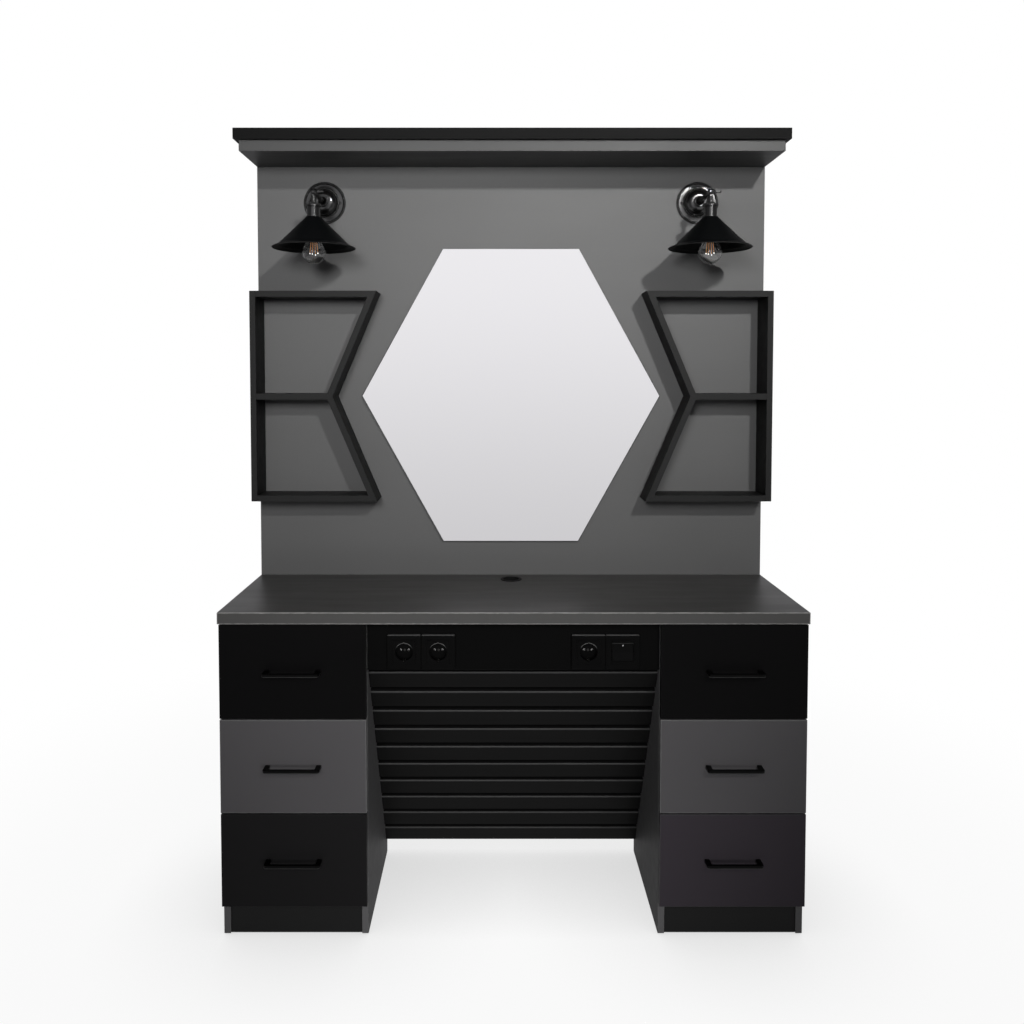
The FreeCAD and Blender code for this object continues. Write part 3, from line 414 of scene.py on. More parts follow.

# %% [markdown]
# ## The anthracite boards
# The wall panel, the lower canopy board, the worktop and the sides of the pedestals are one
# matte anthracite laminate. They could share one material, but the edge mask reads each board's
# own corners, so each board gets its own copy of the same recipe. The canopy board is set darker
# than the wall panel, and darker again away from its front face: painted shade. The worktop is
# set darker and a little warmer than the wall panel; it is wiped most, so it is the smoothest,
# and its edge line is the palest, partly wear and partly a painted highlight.

# %% Anthracite boards
ANTHRACITE = 0.122
laminate("anthracite_wall_panel", "wall_panel", ANTHRACITE, roughness=0.55, worn=1.3)
# painted shade: the canopy board darker than the wall panel, its underside darker than its front
laminate("anthracite_canopy", "canopy_lower_board", 0.050, roughness=0.5, worn=1.2, band=0.074)
# the worktop's edge line, 4.8 times its level: partly wear, partly a painted highlight
laminate("anthracite_worktop", "worktop", 0.066, warm=0.02, roughness=0.42, sheen=0.2, worn=4.8,
         band=0.093, edge_width=3.0 * MM)
for side in SIDES:
    for place in ("outer", "inner"):
        board = side + "_" + place + "_side"
        laminate("anthracite_" + board, board, 0.115, plum=0.01, roughness=0.52, sheen=0.08,
                 worn=1.2, band=0.17)
print("anthracite boards:", 7)

# %% [markdown]
# ## Drawer fronts, top board and socket rail
# The top and bottom drawers are satin black and the middle ones dark grey, whose edge is a
# shade lighter and draws a fine line round each front, partly wear and partly a painted
# highlight. The bottom fronts are set lighter than the top ones, and the lower right one lighter
# still and plum: painted light. Black laminate shows every finger, so the fronts get marks round
# their handles: the same group, with the centre of each handle.

# %% Black and grey fronts
TOP_FRONT = {"level": 0.0046, "plum": 0.03, "worn": 1.6}
MIDDLE_FRONT = {"level": 0.121, "plum": 0.03, "worn": 2.2}
# painted light: the bottom fronts set lighter than the top ones, the right one lighter and plum
LOW_FRONT_LIT = {"left": {"level": 0.0165, "plum": 0.03, "worn": 1.6},
             "right": {"level": 0.055, "plum": 0.12, "worn": 1.6}}
for side in SIDES:
    for number, look in (("1", TOP_FRONT), ("2", MIDDLE_FRONT), ("3", LOW_FRONT_LIT[side])):
        label = side + "_drawer_" + number
        low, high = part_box(label + "_handle")
        laminate("front_" + label, label + "_front", roughness=0.44, sheen=0.05,
                 edge_width=2.2 * MM, handle=(low + high) / 2, **look)
laminate("black_canopy_top", "canopy_top_board", 0.0095, roughness=0.55, worn=1.3, sheen=0.04)
laminate("black_socket_rail", "socket_rail", 0.0036, roughness=0.42, sheen=0.04)
print("fronts:", 6)


# %% [markdown]
# ## Boards that come several to a node
# The shelf units, plinths and inner boards are several boards in one node, so the corners of
# the node's box say nothing about each board. What they share is the front plane where their
# banded edges show, so the mask of forward faces gives the band. Its lighter grey is partly that
# edge band and partly painted light: the forward faces are set lighter than the faces in shade.

# %% Finish for several boards
def laminate_set(name, boards, level, edge_level, sheen=0.3, roughness=0.5):
    """Laminate for nodes of several boards, with a lighter band along their front plane: partly
    edge band and partly painted light.
    """
    material, tree, shader = finish_of(name, Specular_IOR_Level=sheen)
    base = shade_of(level)
    surface = group(tree, skin, {"Colour": base, "Roughness": roughness, "Pearl": PEARL})
    band = group(tree, front, {"Plane": min(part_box(board)[0].y for board in boards)})["Mask"]
    colour = dusted(tree, mixed(tree, band, surface["Colour"], shade_of(edge_level)), 0.04)
    wire(tree, shader, surface["Height"], Base_Color=colour, Roughness=surface["Roughness"])
    dress(material, *boards)
    print(name, "on", len(boards), "nodes")


shelf_nodes = [side + "_shelf_" + part for side in SIDES for part in ("frame", "boards")]
# painted light: the shelf units' forward faces three times as light as the rest
laminate_set("black_shelf_units", shelf_nodes, 0.0080, 0.024, sheen=0.10)
laminate_set("black_plinths", ["plinth_boards"], 0.0165, 0.0195, sheen=0.12)
laminate_set("grey_cross_boards", ["pedestal_cross_boards"], 0.11, 0.13)

# %% [markdown]
# ## The slats of the knee panel
# Ten black slats lie on a leaning backing board. Their upper long edges are eased by hand, and
# the light that these edges catch is painted on them as pale lines: a painted highlight.
# Distance down the slope is one number: the dot product of the point with the slope's
# direction. Its remainder after division by the slats' pitch tells how far the point is below
# its own slat's upper edge, and what is left of the pitch how far it is above the next one, so
# one mask serves all ten. The dot product with the slope's normal is the depth behind the faces,
# which keeps the painted lines out of the gaps.

# %% Slat finish
SLATS, SLAT_WIDTH = 10, 54 * MM
LINE_WIDTH, LINE_UNEVEN = 4.6 * MM, 1.2 * MM
GAP_DEPTH, FACE_DEPTH = 2.6 * MM, 1.2 * MM
slope_points = np.array([v.co for v in nodes["slats"].data.vertices])
top_front = slope_points[np.argmin(slope_points[:, 1])]
lowest = slope_points[np.argmin(slope_points[:, 2])]
slope = lowest - top_front
slope[0] = 0
slat_length = np.linalg.norm(slope)
down = slope / slat_length
pitch = (slat_length - SLAT_WIDTH) / (SLATS - 1)
lean = math.degrees(math.atan2(down[1], -down[2]))
print("slope:", round(lean, 1), "degrees, pitch:", round(pitch, 4))

slat_black, tree, shader = finish_of("black_slats", Specular_IOR_Level=0.05)
spot = here(tree)
moved = vector_calc(tree, "SUBTRACT", spot, tuple(top_front))
run = measured(tree, "DOT_PRODUCT", moved, tuple(down))
above_zero = calc(tree, "ADD", run, pitch * 4)  # whole pitches don't change the remainder
within = calc(tree, "MODULO", above_zero, pitch)
to_next = calc(tree, "ABSOLUTE", calc(tree, "SUBTRACT", pitch, within))
to_edge = calc(tree, "MINIMUM", within, to_next)
wavering = calc(tree, "MULTIPLY_ADD", speckle(tree, spot, 60.0, 3.0), LINE_UNEVEN, to_edge)
behind = measured(tree, "DOT_PRODUCT", moved, (0.0, -down[2], down[1]))
# painted highlight along each slat's upper edge
painted_edge_highlight = calc(tree, "MULTIPLY", fade(tree, wavering, LINE_WIDTH, 0.0),
              fade(tree, behind, GAP_DEPTH, FACE_DEPTH))
surface = group(tree, skin, {"Colour": shade_of(0.0085), "Roughness": 0.46, "Pearl": 0.2})
colour = mixed(tree, painted_edge_highlight, surface["Colour"], shade_of(0.085))
wire(tree, shader, surface["Height"], Base_Color=colour, Roughness=surface["Roughness"])
dress(slat_black, "slats", "slat_backing", "slat_cleats")
print("slats:", SLATS)

# %% [markdown]
# ## Drawer boxes and their runners
# A box is pale grey melamine board with roller runners of white-coated steel screwed under its
# sides. Both sit in one node, so a mask by place tells steel from board: what stands outside
# the box's own width, or under its sides, is runner. The runners on the cabinet have the same
# white, under a coat with the soft orange peel of sprayed powder, which the lamps share.

# %% Group: sprayed coat
coat, into, out = effect("sprayed coat", {"Scale": ("Float", 700.0), "Roughness": ("Float", 0.4)},
                         {"Height": "Float", "Roughness": "Float", "Tone": "Float"})
spot = here(coat)
peel = node(coat, "TexVoronoi", {"Vector": spot, "Scale": into["Scale"], "Smoothness": 1.0},
            feature="SMOOTH_F1").outputs["Distance"]
patchy = speckle(coat, spot, 18.0, 3.0)
give(coat, out, Height=peel, Roughness=calc(coat, "MULTIPLY_ADD", patchy, 0.14, into["Roughness"]),
     Tone=calc(coat, "MULTIPLY_ADD", patchy, 0.18, 1.0))
print("group:", coat.name)


# %% Box and runner finishes
RUNNER_WHITE, PEEL_DEPTH = shade_of(0.55, 0.02), 0.01 * MM
runner_steel, tree, shader = finish_of("runner_steel")
spray = group(tree, coat, {"Scale": 700.0, "Roughness": 0.38})
wire(tree, shader, spray["Height"], PEEL_DEPTH,
     Base_Color=scaled(tree, RUNNER_WHITE[:3], spray["Tone"]), Roughness=spray["Roughness"])
dress(runner_steel, "cabinet_runners")
BOX_HALF, SIDE_HEIGHT = 146.7 * MM, 150.02 * MM
for side in SIDES:
    for number in "123":
        box_node = side + "_drawer_" + number + "_box"
        low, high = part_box(box_node)
        material, tree, shader = finish_of("melamine_" + side + number, Specular_IOR_Level=0.35)
        across, _, up = node(tree, "SeparateXYZ", {0: here(tree)}).outputs
        off_centre = calc(tree, "ABSOLUTE", calc(tree, "SUBTRACT", across, (low.x + high.x) / 2))
        beside = calc(tree, "GREATER_THAN", off_centre, BOX_HALF)
        under = calc(tree, "LESS_THAN", up, high.z - SIDE_HEIGHT)
        steel = calc(tree, "MAXIMUM", beside, under)
        surface = group(tree, skin, {"Colour": shade_of(0.36), "Roughness": 0.5, "Pearl": 0.1})
        top_band = fade(tree, up, high.z - 1.2 * MM, high.z - 0.4 * MM)
        wood = mixed(tree, top_band, surface["Colour"], shade_of(0.27))
        colour = mixed(tree, steel, wood, RUNNER_WHITE)
        wire(tree, shader, surface["Height"], Base_Color=colour, Roughness=surface["Roughness"])
        dress(material, box_node)
print("drawer boxes:", 6)

# %% [markdown]
# ## Handles
# Each handle is a square bar on two legs, cast in one and powder coated black. The CAD shape is
# right, so only the coat is new: a very fine peel and little gloss. The bar's lower edge is set
# to a pale line, a painted highlight for the light it catches from below. How high a point stands
# above the handle's own lowest level gives that mask, so each handle gets its own copy of the
# coat.

# %% Handle finish
for label in [side + "_drawer_" + number + "_handle" for side in SIDES for number in "123"]:
    low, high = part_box(label)
    handle_black, tree, shader = finish_of("black_" + label, Specular_IOR_Level=0.08)
    spray = group(tree, coat, {"Scale": 1100.0, "Roughness": 0.36})
    up = node(tree, "SeparateXYZ", {0: here(tree)}).outputs[2]
    wavering = calc(tree, "MULTIPLY_ADD", speckle(tree, here(tree), 70.0, 2.0), 1.0 * MM, up)
    # painted highlight along the bar's lower edge
    lower_edge_highlight = fade(tree, wavering, low.z + 3.0 * MM, low.z + 0.6 * MM)
    colour = mixed(tree, lower_edge_highlight, scaled(tree, shade_of(0.0016)[:3], spray["Tone"]), shade_of(0.060))
    wire(tree, shader, spray["Height"], PEEL_DEPTH, Base_Color=colour, Roughness=spray["Roughness"])
    dress(handle_black, label)
print("handles:", 6)

# %% [markdown]
# ## Moulded plastic and steel springs
# Socket covers, inserts, switch, grommet and glides are moulded plastic. The mould is spark
# eroded, which leaves a fine even grain without direction and keeps gloss low. The glides wear
# dull. Springs are bare steel with a drawn surface, so their noise is stretched along one axis.
# An upper edge that catches the light gets a painted highlight, a paler line. On round things
# that edge is a ring, and how far a point is from the axis tells whether it lies on it: the upper
# arc of each socket's well. On the socket plates and the rocker it is the upper edge. The same
# ring mask only dulls the gloss of the bronze plates, and gives the shade's rim its painted
# highlight.

# %% Groups: moulded grain, drawn metal, ring wear
grain, into, out = effect(
    "moulded grain",
    {"Scale": ("Float", 2200.0), "Roughness": ("Float", 0.5)},
    {"Height": "Float", "Roughness": "Float"})
spot = here(grain)
rubbing = speckle(grain, spot, 30.0, 3.0)
give(grain, out, Height=speckle(grain, spot, into["Scale"], 1.0),
     Roughness=calc(grain, "MULTIPLY_ADD", rubbing, 0.16, into["Roughness"]))

drawn, into, out = effect(
    "drawn metal",
    {"Stretch": ("Vector", (1, 1, 1)), "Roughness": ("Float", 0.3)},
    {"Height": "Float", "Roughness": "Float"})
lines = speckle(drawn, vector_calc(drawn, "MULTIPLY", here(drawn), into["Stretch"]), 900.0, 3.0)
give(drawn, out, Height=lines,
     Roughness=calc(drawn, "MULTIPLY_ADD", lines, 0.25, into["Roughness"]))

# ring mask: painted highlights on the socket wells and on the rim of each shade, duller gloss on
# the bronze plates
ring_wear_and_highlight, into, out = effect(
    "ring wear",
    {"Centre": ("Vector", (0, 0, 0)), "Keep": ("Vector", (1, 1, 0)), "Radius": ("Float", 0.1),
     "Band": ("Float", 0.002)},
    {"Mask": "Float"})
spot = here(ring_wear_and_highlight)
from_centre = vector_calc(ring_wear_and_highlight, "SUBTRACT", spot, into["Centre"])
across_axis = vector_calc(ring_wear_and_highlight, "MULTIPLY", from_centre, into["Keep"])
radius = measured(ring_wear_and_highlight, "LENGTH", across_axis)
off_ring = calc(ring_wear_and_highlight, "ABSOLUTE", calc(ring_wear_and_highlight, "SUBTRACT", radius, into["Radius"]))
uneven = speckle(ring_wear_and_highlight, spot, 160.0, 3.0)
scuffed = calc(ring_wear_and_highlight, "MULTIPLY_ADD", uneven, into["Band"], off_ring)
give(ring_wear_and_highlight, out, Mask=fade(ring_wear_and_highlight, scuffed, into["Band"], 0.0))
print("groups:", grain.name, "and", drawn.name, "and", ring_wear_and_highlight.name)


# %% Plastic and metal finishes
WELL, RIM_HIGHLIGHT_BAND = 21 * MM, 1.3 * MM


def plastic(name, level, roughness=0.5, tops=(), highlight_rims=(), top_highlight=0.10):
    """Black moulded plastic, with a painted highlight along upper edges at some heights and on the
    upper arc of round edges as wide as a socket's well."""
    material, tree, shader = finish_of(name, Specular_IOR_Level=0.06)
    mould = group(tree, grain, {"Roughness": roughness})
    smear = speckle(tree, here(tree), 14.0, 3.0)
    colour = scaled(tree, shade_of(level)[:3], calc(tree, "ADD", smear, 1.0))
    up = node(tree, "SeparateXYZ", {0: here(tree)}).outputs[2]
    # painted highlight along the upper edges
    for top in tops:
        below = calc(tree, "ABSOLUTE", calc(tree, "SUBTRACT", up, top))
        colour = mixed(tree, fade(tree, below, 1.9 * MM, 0.6 * MM), colour, shade_of(top_highlight))
    # painted highlight on the upper arc of each well
    for rim in highlight_rims:
        plugs = {"Centre": rim, "Keep": (1, 0, 1), "Radius": WELL, "Band": RIM_HIGHLIGHT_BAND}
        arc = calc(tree, "MULTIPLY", group(tree, ring_wear_and_highlight, plugs)["Mask"],
                   fade(tree, up, rim[2] + 7 * MM, rim[2] + 17 * MM))
        colour = mixed(tree, arc, colour, shade_of(0.30))
    wire(tree, shader, mould["Height"], 0.008 * MM, Base_Color=colour, Roughness=mould["Roughness"])
    return material


def metal(name, colour, roughness=0.3, stretch=(1, 1, 1)):
    """Bare drawn or turned metal."""
    material, tree, shader = finish_of(name, Metallic=1.0)
    pull = group(tree, drawn, {"Stretch": stretch, "Roughness": roughness})
    smear = speckle(tree, here(tree), 120.0, 3.0)
    wire(tree, shader, pull["Height"], 0.004 * MM, Roughness=pull["Roughness"],
         Base_Color=scaled(tree, colour, calc(tree, "MULTIPLY_ADD", smear, 0.3, 1.0)))
    return material


cover_low, cover_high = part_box("cover_plates")
module_z = (cover_low.z + cover_high.z) / 2
MODULE, PAIR_STEP = 81 * MM, 81.4 * MM
first_x = cover_low.x + MODULE / 2
socket_x = [first_x, first_x + PAIR_STEP, -first_x - PAIR_STEP]
black_plastic = plastic("black_plastic", 0.0030)
dress(black_plastic, "switch_frame", "module_boxes")
well_highlight_rims = [(x, 0.0, module_z) for x in socket_x]
socket_plastic = plastic("socket_plastic", 0.0030, tops=[cover_high.z], highlight_rims=well_highlight_rims)
dress(socket_plastic, "cover_plates", "socket_inserts")
rocker_highlight_tops = [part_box("switch_rocker")[1].z]
rocker_plastic = plastic("rocker_plastic", 0.0034, roughness=0.36, tops=rocker_highlight_tops, top_highlight=0.04)
dress(rocker_plastic, "switch_rocker")
dress(plastic("grommet_plastic", 0.011, roughness=0.42), "cable_grommet")
dress(plastic("glide_nylon", 0.02, roughness=0.6), "floor_glides")
spring_steel = metal("spring_steel", (0.62, 0.61, 0.58), 0.24, (0.2, 1, 1))
screw_steel = metal("screw_steel", (0.52, 0.50, 0.47), 0.30)
black_screw = metal("black_screw", (0.060, 0.058, 0.056), 0.34)
print("plastic and metal finishes ready")

# %% [markdown]
# ## The mirror
# The mirror is float glass with silver behind it, a narrow bevel and ground sides. A true glass
# block with a silver back would need two surfaces and would be slow and noisy. One bright metal
# surface gives the same image. Behind the bevel the ground side is darker and greenish, and
# a mask of the depth tells the two apart. The backer is bare fibreboard, with a felted noise.

# %% Mirror finish
glass_low, glass_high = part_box("mirror_glass")
BEVEL = 1.5 * MM
silver, tree, shader = finish_of("mirror_silver", Specular_IOR_Level=0.5)
spot = here(tree)
depth = calc(tree, "SUBTRACT", node(tree, "SeparateXYZ", {0: spot}).outputs[1], glass_low.y)
side_face = calc(tree, "GREATER_THAN", depth, BEVEL + 0.1 * MM)
haze = fade(tree, speckle(tree, spot, 2.5, 5.0), 0.05, 0.5)
reflecting = mixed(tree, haze, (0.905, 0.898, 0.900, 1), (0.89, 0.885, 0.892, 1))
colour = mixed(tree, side_face, reflecting, (0.10, 0.14, 0.125, 1))
gloss = calc(tree, "MULTIPLY_ADD", side_face, 0.35, calc(tree, "MULTIPLY_ADD", haze, 0.015, 0.012))
wire(tree, shader, Base_Color=colour, Roughness=gloss,
     Metallic=calc(tree, "SUBTRACT", 1.0, side_face))
dress(silver, "mirror_glass")

felt, tree, shader = finish_of("bare_fibreboard", Specular_IOR_Level=0.2)
fibre = speckle(tree, vector_calc(tree, "MULTIPLY", here(tree), (1, 4, 1)), 500.0, 4.0)
fuzz = fade(tree, fibre, -0.3, 0.3)
colour = mixed(tree, fuzz, (0.050, 0.042, 0.034, 1), (0.075, 0.062, 0.048, 1))
wire(tree, shader, fibre, 0.04 * MM, Base_Color=colour,
     Roughness=calc(tree, "MULTIPLY_ADD", fibre, 0.1, 0.85))
dress(felt, "mirror_backer")
glass_size = glass_high - glass_low
print("mirror:", round(glass_size.x, 3), "by", round(glass_size.z, 3))

# %% [markdown]
# ## The lamps' metal
# The lamps are steel and brass parts blackened to an oily bronze, with a shade in matte enamel.
# Blackened parts keep a dull sparkle where the finish is thin, so two tones are mixed by a
# noise, under a thin wax that is set on the shader as a weak coat. The thumb screws are duller
# from handling.

# %% Bronze finishes
DULL_RINGS = ((55.5 * MM, 4.2 * MM), (39.5 * MM, 2.6 * MM))


def bronze(name, level=0.0022, roughness=0.22, centre=None):
    """Oil-rubbed black bronze: dark, mottled where the finish is thin, under a thin wax. On a
    plate with a centre, the black stays thick and dull on the rolled rim and at the boss's foot."""
    material, tree, shader = finish_of(name, Specular_IOR_Level=0.95, Coat_Weight=0.1,
                                       Coat_Roughness=0.08)
    spray = group(tree, coat, {"Scale": 420.0, "Roughness": roughness})
    mottle = fade(tree, speckle(tree, here(tree), 170.0, 4.0), -0.1, 0.4)
    colour = mixed(tree, mottle, shade_of(level, 0.02), shade_of(level * 2.4, 0.06))
    gloss = spray["Roughness"]
    if centre is not None:
        for radius, half_width in DULL_RINGS:
            plugs = {"Centre": tuple(centre), "Keep": (1, 0, 1), "Radius": radius,
                     "Band": half_width}
            gloss = calc(tree, "MULTIPLY_ADD", group(tree, ring_wear_and_highlight, plugs)["Mask"], 0.55, gloss)
    wire(tree, shader, spray["Height"], 0.012 * MM, Base_Color=colour, Roughness=gloss)
    return material


plain_bronze = bronze("bronze_parts")
dress(plain_bronze, *[side + "_lamp_" + part for side in SIDES for part in ("arm", "holder")])
dress(bronze("handled_bronze", roughness=0.5), *[side + "_lamp_thumb_screw" for side in SIDES])
print("lamp finishes ready")

# %% [markdown]
# ## Backplates
# Each lamp hangs on a pressed round plate: a rolled rim, a flat well, a bead and a domed boss
# that ends in a knurled nut. The whole plate is one outline turned about the axis that points
# out of the wall. The dome is a quarter of an ellipse. The nut's ridges run round it, so its
# radius is a wave of the angle, and its face is dished towards the arm. A rounded collar,
# turned about the lamp's upright axis, closes the top of each lamp holder.

# %% Turn the backplates and knurl their nuts
def bow(start, end, bulge, count=7):
    """Points of a curve: a straight line plus bulge * sin(pi t) at right angles to it."""
    start, end = np.array(start, float), np.array(end, float)
    t = np.linspace(0, 1, count)[:, None]
    line = end - start
    across = np.array([line[1], -line[0]]) / np.linalg.norm(line)
    return start + t * line + bulge * np.sin(np.pi * t) * across


def quarter(radius, top_radius, base, top, count=26):
    """Quarter ellipse: radius falls with cos a and height grows with sin a."""
    a = np.linspace(0, np.pi / 2, count)
    radii, heights = top_radius + (radius - top_radius) * np.cos(a), base + (top - base) * np.sin(a)
    return np.stack([radii, heights], -1)


def knurled(radius, low, high, ridges, centre, forward, depth=0.0003):
    """Radius = radius + depth*|cos(ridges*a/2)|, faded to the plain radius at both ends, with a
    dish sunk in the front: its floor drops with the square of the way in from the rim."""
    heights = np.linspace(low, high, 9)
    a = np.linspace(0, 2 * np.pi, ridges * 6, endpoint=False)
    calm = np.clip(np.minimum(heights - low, high - heights) / 0.0012, 0, 1)[:, None]
    side = radius + depth * np.abs(np.cos(ridges * a / 2))[None] * calm
    way_in = np.array([0.0, 0.08, 0.16, 0.30, 0.45, 0.60, 1.0])
    dish_radii = (radius - 0.0004) * (1 - way_in)[:, None] * np.ones_like(side[:1])
    dish_heights = high + 0.0004 - 0.0032 * np.clip((way_in - 0.1) / 0.4, 0, 1) ** 2
    radii = np.concatenate([0 * side[:1], side, dish_radii])
    levels = np.concatenate([heights[:1], heights, dish_heights])[:, None]
    ring = turned([(1.0, 0.0)], (0, 0, 0), ridges * 6, forward)[0]
    ahead = np.array(Vector(forward).normalized())
    return radii[..., None] * ring + levels[..., None] * ahead + centre, False, True


PLATE, BOSS, NUT = 58 * MM, 38 * MM, 15 * MM
BOSS_TOP, NUT_FOOT, NUT_TOP = 29.0 * MM, 28.6 * MM, 37.2 * MM
ROLL_WIDTH, ROLL_HEIGHT = 3.2 * MM, 3.0 * MM
COLLAR = np.concatenate([
    [(0, -0.0300)], bow((0.0070, -0.0300), (0.0180, -0.0303), 0.0002),
    bow((0.0192, -0.0308), (0.0192, -0.0392), 0.0017, 11),
    bow((0.0184, -0.0398), (0.0172, -0.0402), 0.0001, 5), [(0, -0.0402)]])
for side in SIDES:
    out_of_wall = np.array([lamp_axis[side][0], y_wall, lamp_axis[side][2]])
    half_turn = np.radians(np.linspace(-20, 190, 15))
    rolled_rim = np.stack([PLATE - 0.0033 + ROLL_WIDTH * np.cos(half_turn),
                           0.0014 + ROLL_HEIGHT * np.sin(half_turn)], -1)
    outline = np.concatenate([
        [(0, 0.0003), (PLATE - 0.0006, 0.0003)],
        rolled_rim,
        [(PLATE - 0.0075, 0.0023), (BOSS + 0.0046, 0.0025)],
        bow((BOSS + 0.0036, 0.0027), (BOSS + 0.0004, 0.0034), -0.0012, 9),
        quarter(BOSS - 0.0004, NUT + 0.0015, 0.0036, 0.0270),
        bow((NUT + 0.0015, 0.0272), (NUT - 0.0012, BOSS_TOP), -0.0006),
        [(0, BOSS_TOP)]])
    plate_bronze = bronze("bronze_plate_" + side, centre=out_of_wall)
    piece(side + "_backplate", [turned(outline, out_of_wall, 128, OUTWARD)], plate_bronze,
          stands_for=[side + "_lamp_plate"])
    nut = knurled(NUT - 0.0004, NUT_FOOT, NUT_TOP, ridges=40, centre=out_of_wall, forward=OUTWARD)
    piece(side + "_arm_nut", [nut], plain_bronze, crease=60)
    piece(side + "_holder_collar", [turned(COLLAR, lamp_axis[side], 72)], plain_bronze,
          side + "_lamp_head")

# %% [markdown]
# ## Screw heads
# A cross-head screw is a low dome with a cross pressed into it. On a round grid the dome's
# height falls with the radius, and the cross is taken off where a point lies near one of two
# lines through the middle. The same function makes the heads on the lamp plates, the heads in
# the drawers and, with one line instead of two, the slotted screw in each socket.

# %% Screw-head function
def screw_head(centre, forward, radius, height, cross=True):
    """Height(r, a) = dome - recess, where dome = height*sqrt(1 - 0.75*(r/R)^2.6) with a steep
    side, and the recess is deepest within a tenth of the radius from the cross's lines."""
    ahead = Vector(forward).normalized()
    side_way = ahead.orthogonal().normalized()
    up_way = ahead.cross(side_way)
    share = np.concatenate([np.linspace(0.0, 0.92, 22), [0.97, 1.0, 1.0]])[:, None]
    a = np.linspace(0, 2 * np.pi, 72, endpoint=False)[None]
    u, v = share * np.cos(a), share * np.sin(a)
    dome = height * np.sqrt(np.clip(1 - 0.75 * share ** 2.6, 0, 1)) * np.ones_like(a)
    near_line = np.minimum(np.abs(u), np.abs(v)) if cross else np.abs(v)
    reach = np.clip((0.66 - share) / 0.1, 0, 1) if cross else np.ones_like(share)
    recess = 0.7 * height * np.clip((0.16 - near_line) / 0.07, 0, 1) * reach
    lift = dome - recess * (share < 0.96)
    lift[-1] = 0.0
    points = (radius * (u[..., None] * np.array(side_way) + v[..., None] * np.array(up_way))
              + lift[..., None] * np.array(ahead))
    floor = np.zeros_like(points[:1])
    return np.concatenate([points, floor]) + np.asarray(centre), False, True


SCREW_OFFSET = 43 * MM
heads = []
for side in SIDES:
    for offset in (-SCREW_OFFSET, SCREW_OFFSET):
        place = (lamp_axis[side][0] + offset, y_wall - 2.4 * MM, lamp_axis[side][2])
        heads.append(screw_head(place, OUTWARD, radius=4.0 * MM, height=2.0 * MM))
piece("plate_screw_heads", heads, bronze("bronze_screws", 0.006, 0.24),
      stands_for=["lamp_plate_screws"])

# %% [markdown]
# ## Shades
# A shade is a cone of thin spun steel with a flatter lip and a rolled rim. Spinning leaves faint
# rings, which a wave of the radius in the bump gives back. The outline is closed: down the
# outside, round the rim's bead, and up the inside, so that the sheet has a real thickness and
# no open edge. Both sides are matte, and the rim is set a little paler: a painted highlight.

# %% Shade finish and shape
RIM_RADIUS = 107 * MM


def enamel(name, centre):
    """Matte black enamel over spun steel, with spinning rings and a painted highlight on the rim.
    """
    material, tree, shader = finish_of(name, Specular_IOR_Level=0.13)
    spray = group(tree, coat, {"Scale": 900.0, "Roughness": 0.46})
    from_centre = vector_calc(tree, "SUBTRACT", here(tree), tuple(centre))
    radius = measured(tree, "LENGTH", vector_calc(tree, "MULTIPLY", from_centre, (1, 1, 0)))
    rings = calc(tree, "SINE", calc(tree, "MULTIPLY", radius, 3800.0))
    plugs = {"Centre": tuple(centre), "Radius": RIM_RADIUS, "Band": 1.6 * MM}
    rim = group(tree, ring_wear_and_highlight, plugs)["Mask"]
    black = scaled(tree, shade_of(0.0022, -0.12)[:3], spray["Tone"])
    # painted highlight: the rim paler than the black
    colour = mixed(tree, rim, black, shade_of(0.016))
    height = calc(tree, "MULTIPLY_ADD", rings, 0.2, spray["Height"])
    wire(tree, shader, height, PEEL_DEPTH, Base_Color=colour, Roughness=spray["Roughness"])
    return material


TOP, FOOT, RIM = -65 * MM, -136 * MM, -144 * MM  # heights below the tilt axis
SHEET, BEAD = 1.2 * MM, 1.3 * MM
for side in SIDES:
    bead_angle = np.radians(np.linspace(75, -160, 15))
    bead = np.stack([RIM_RADIUS - BEAD + BEAD * np.cos(bead_angle),
                     RIM - 0.0002 + BEAD * np.sin(bead_angle)], -1)
    outside = np.concatenate([
        [(0.0168, TOP), (0.0188, TOP)],
        bow((0.0200, TOP - 0.0005), (0.0895, FOOT + 0.0014), 0.0002, 24),
        bow((0.0902, FOOT + 0.0007), (0.0925, FOOT - 0.0010), -0.0003, 7),
        bow((0.0940, FOOT - 0.0016), (0.1050, RIM + 0.0012), -0.0003, 9)])
    inside = np.concatenate([
        bow((0.1040, RIM + 0.0003), (0.0920, FOOT - 0.0022), 0.0003, 9),
        bow((0.0900, FOOT - 0.0010), (0.0186, TOP - 0.0020), -0.0002, 24),
        [(0.0168, TOP - SHEET)]])
    outline = np.concatenate([outside, bead, inside, outside[:1]])
    black_enamel = enamel("enamel_" + side, lamp_axis[side])
    piece(side + "_shade", [turned(outline, lamp_axis[side], 160)], black_enamel,
          side + "_lamp_head", stands_for=[side + "_lamp_shade"])

# %% [markdown]
# ## Bulbs
# Each bulb is a blown globe with four amber light sticks. Light bends once where it enters the
# glass and once where it leaves, so the wall needs both its surfaces: the outline runs up the
# outside and back down the inside. The globe is an arc, and the flank above it a smooth curve to
# the neck. The cap's thread is a helix: the radius is a wave of height and angle together.

# %% Bulb shapes
GLOBE, GLOBE_DROP, GLOBE_TURN = 31 * MM, -155 * MM, 30
NECK, NECK_TOP, GLASS_WALL = 13.2 * MM, -106.6 * MM, 0.8 * MM
LEAVING, ARRIVING = 34 * MM, 26 * MM
CAP, THREAD_DEPTH, THREAD_PITCH = 12.9 * MM, 0.35 * MM, 3.6 * MM


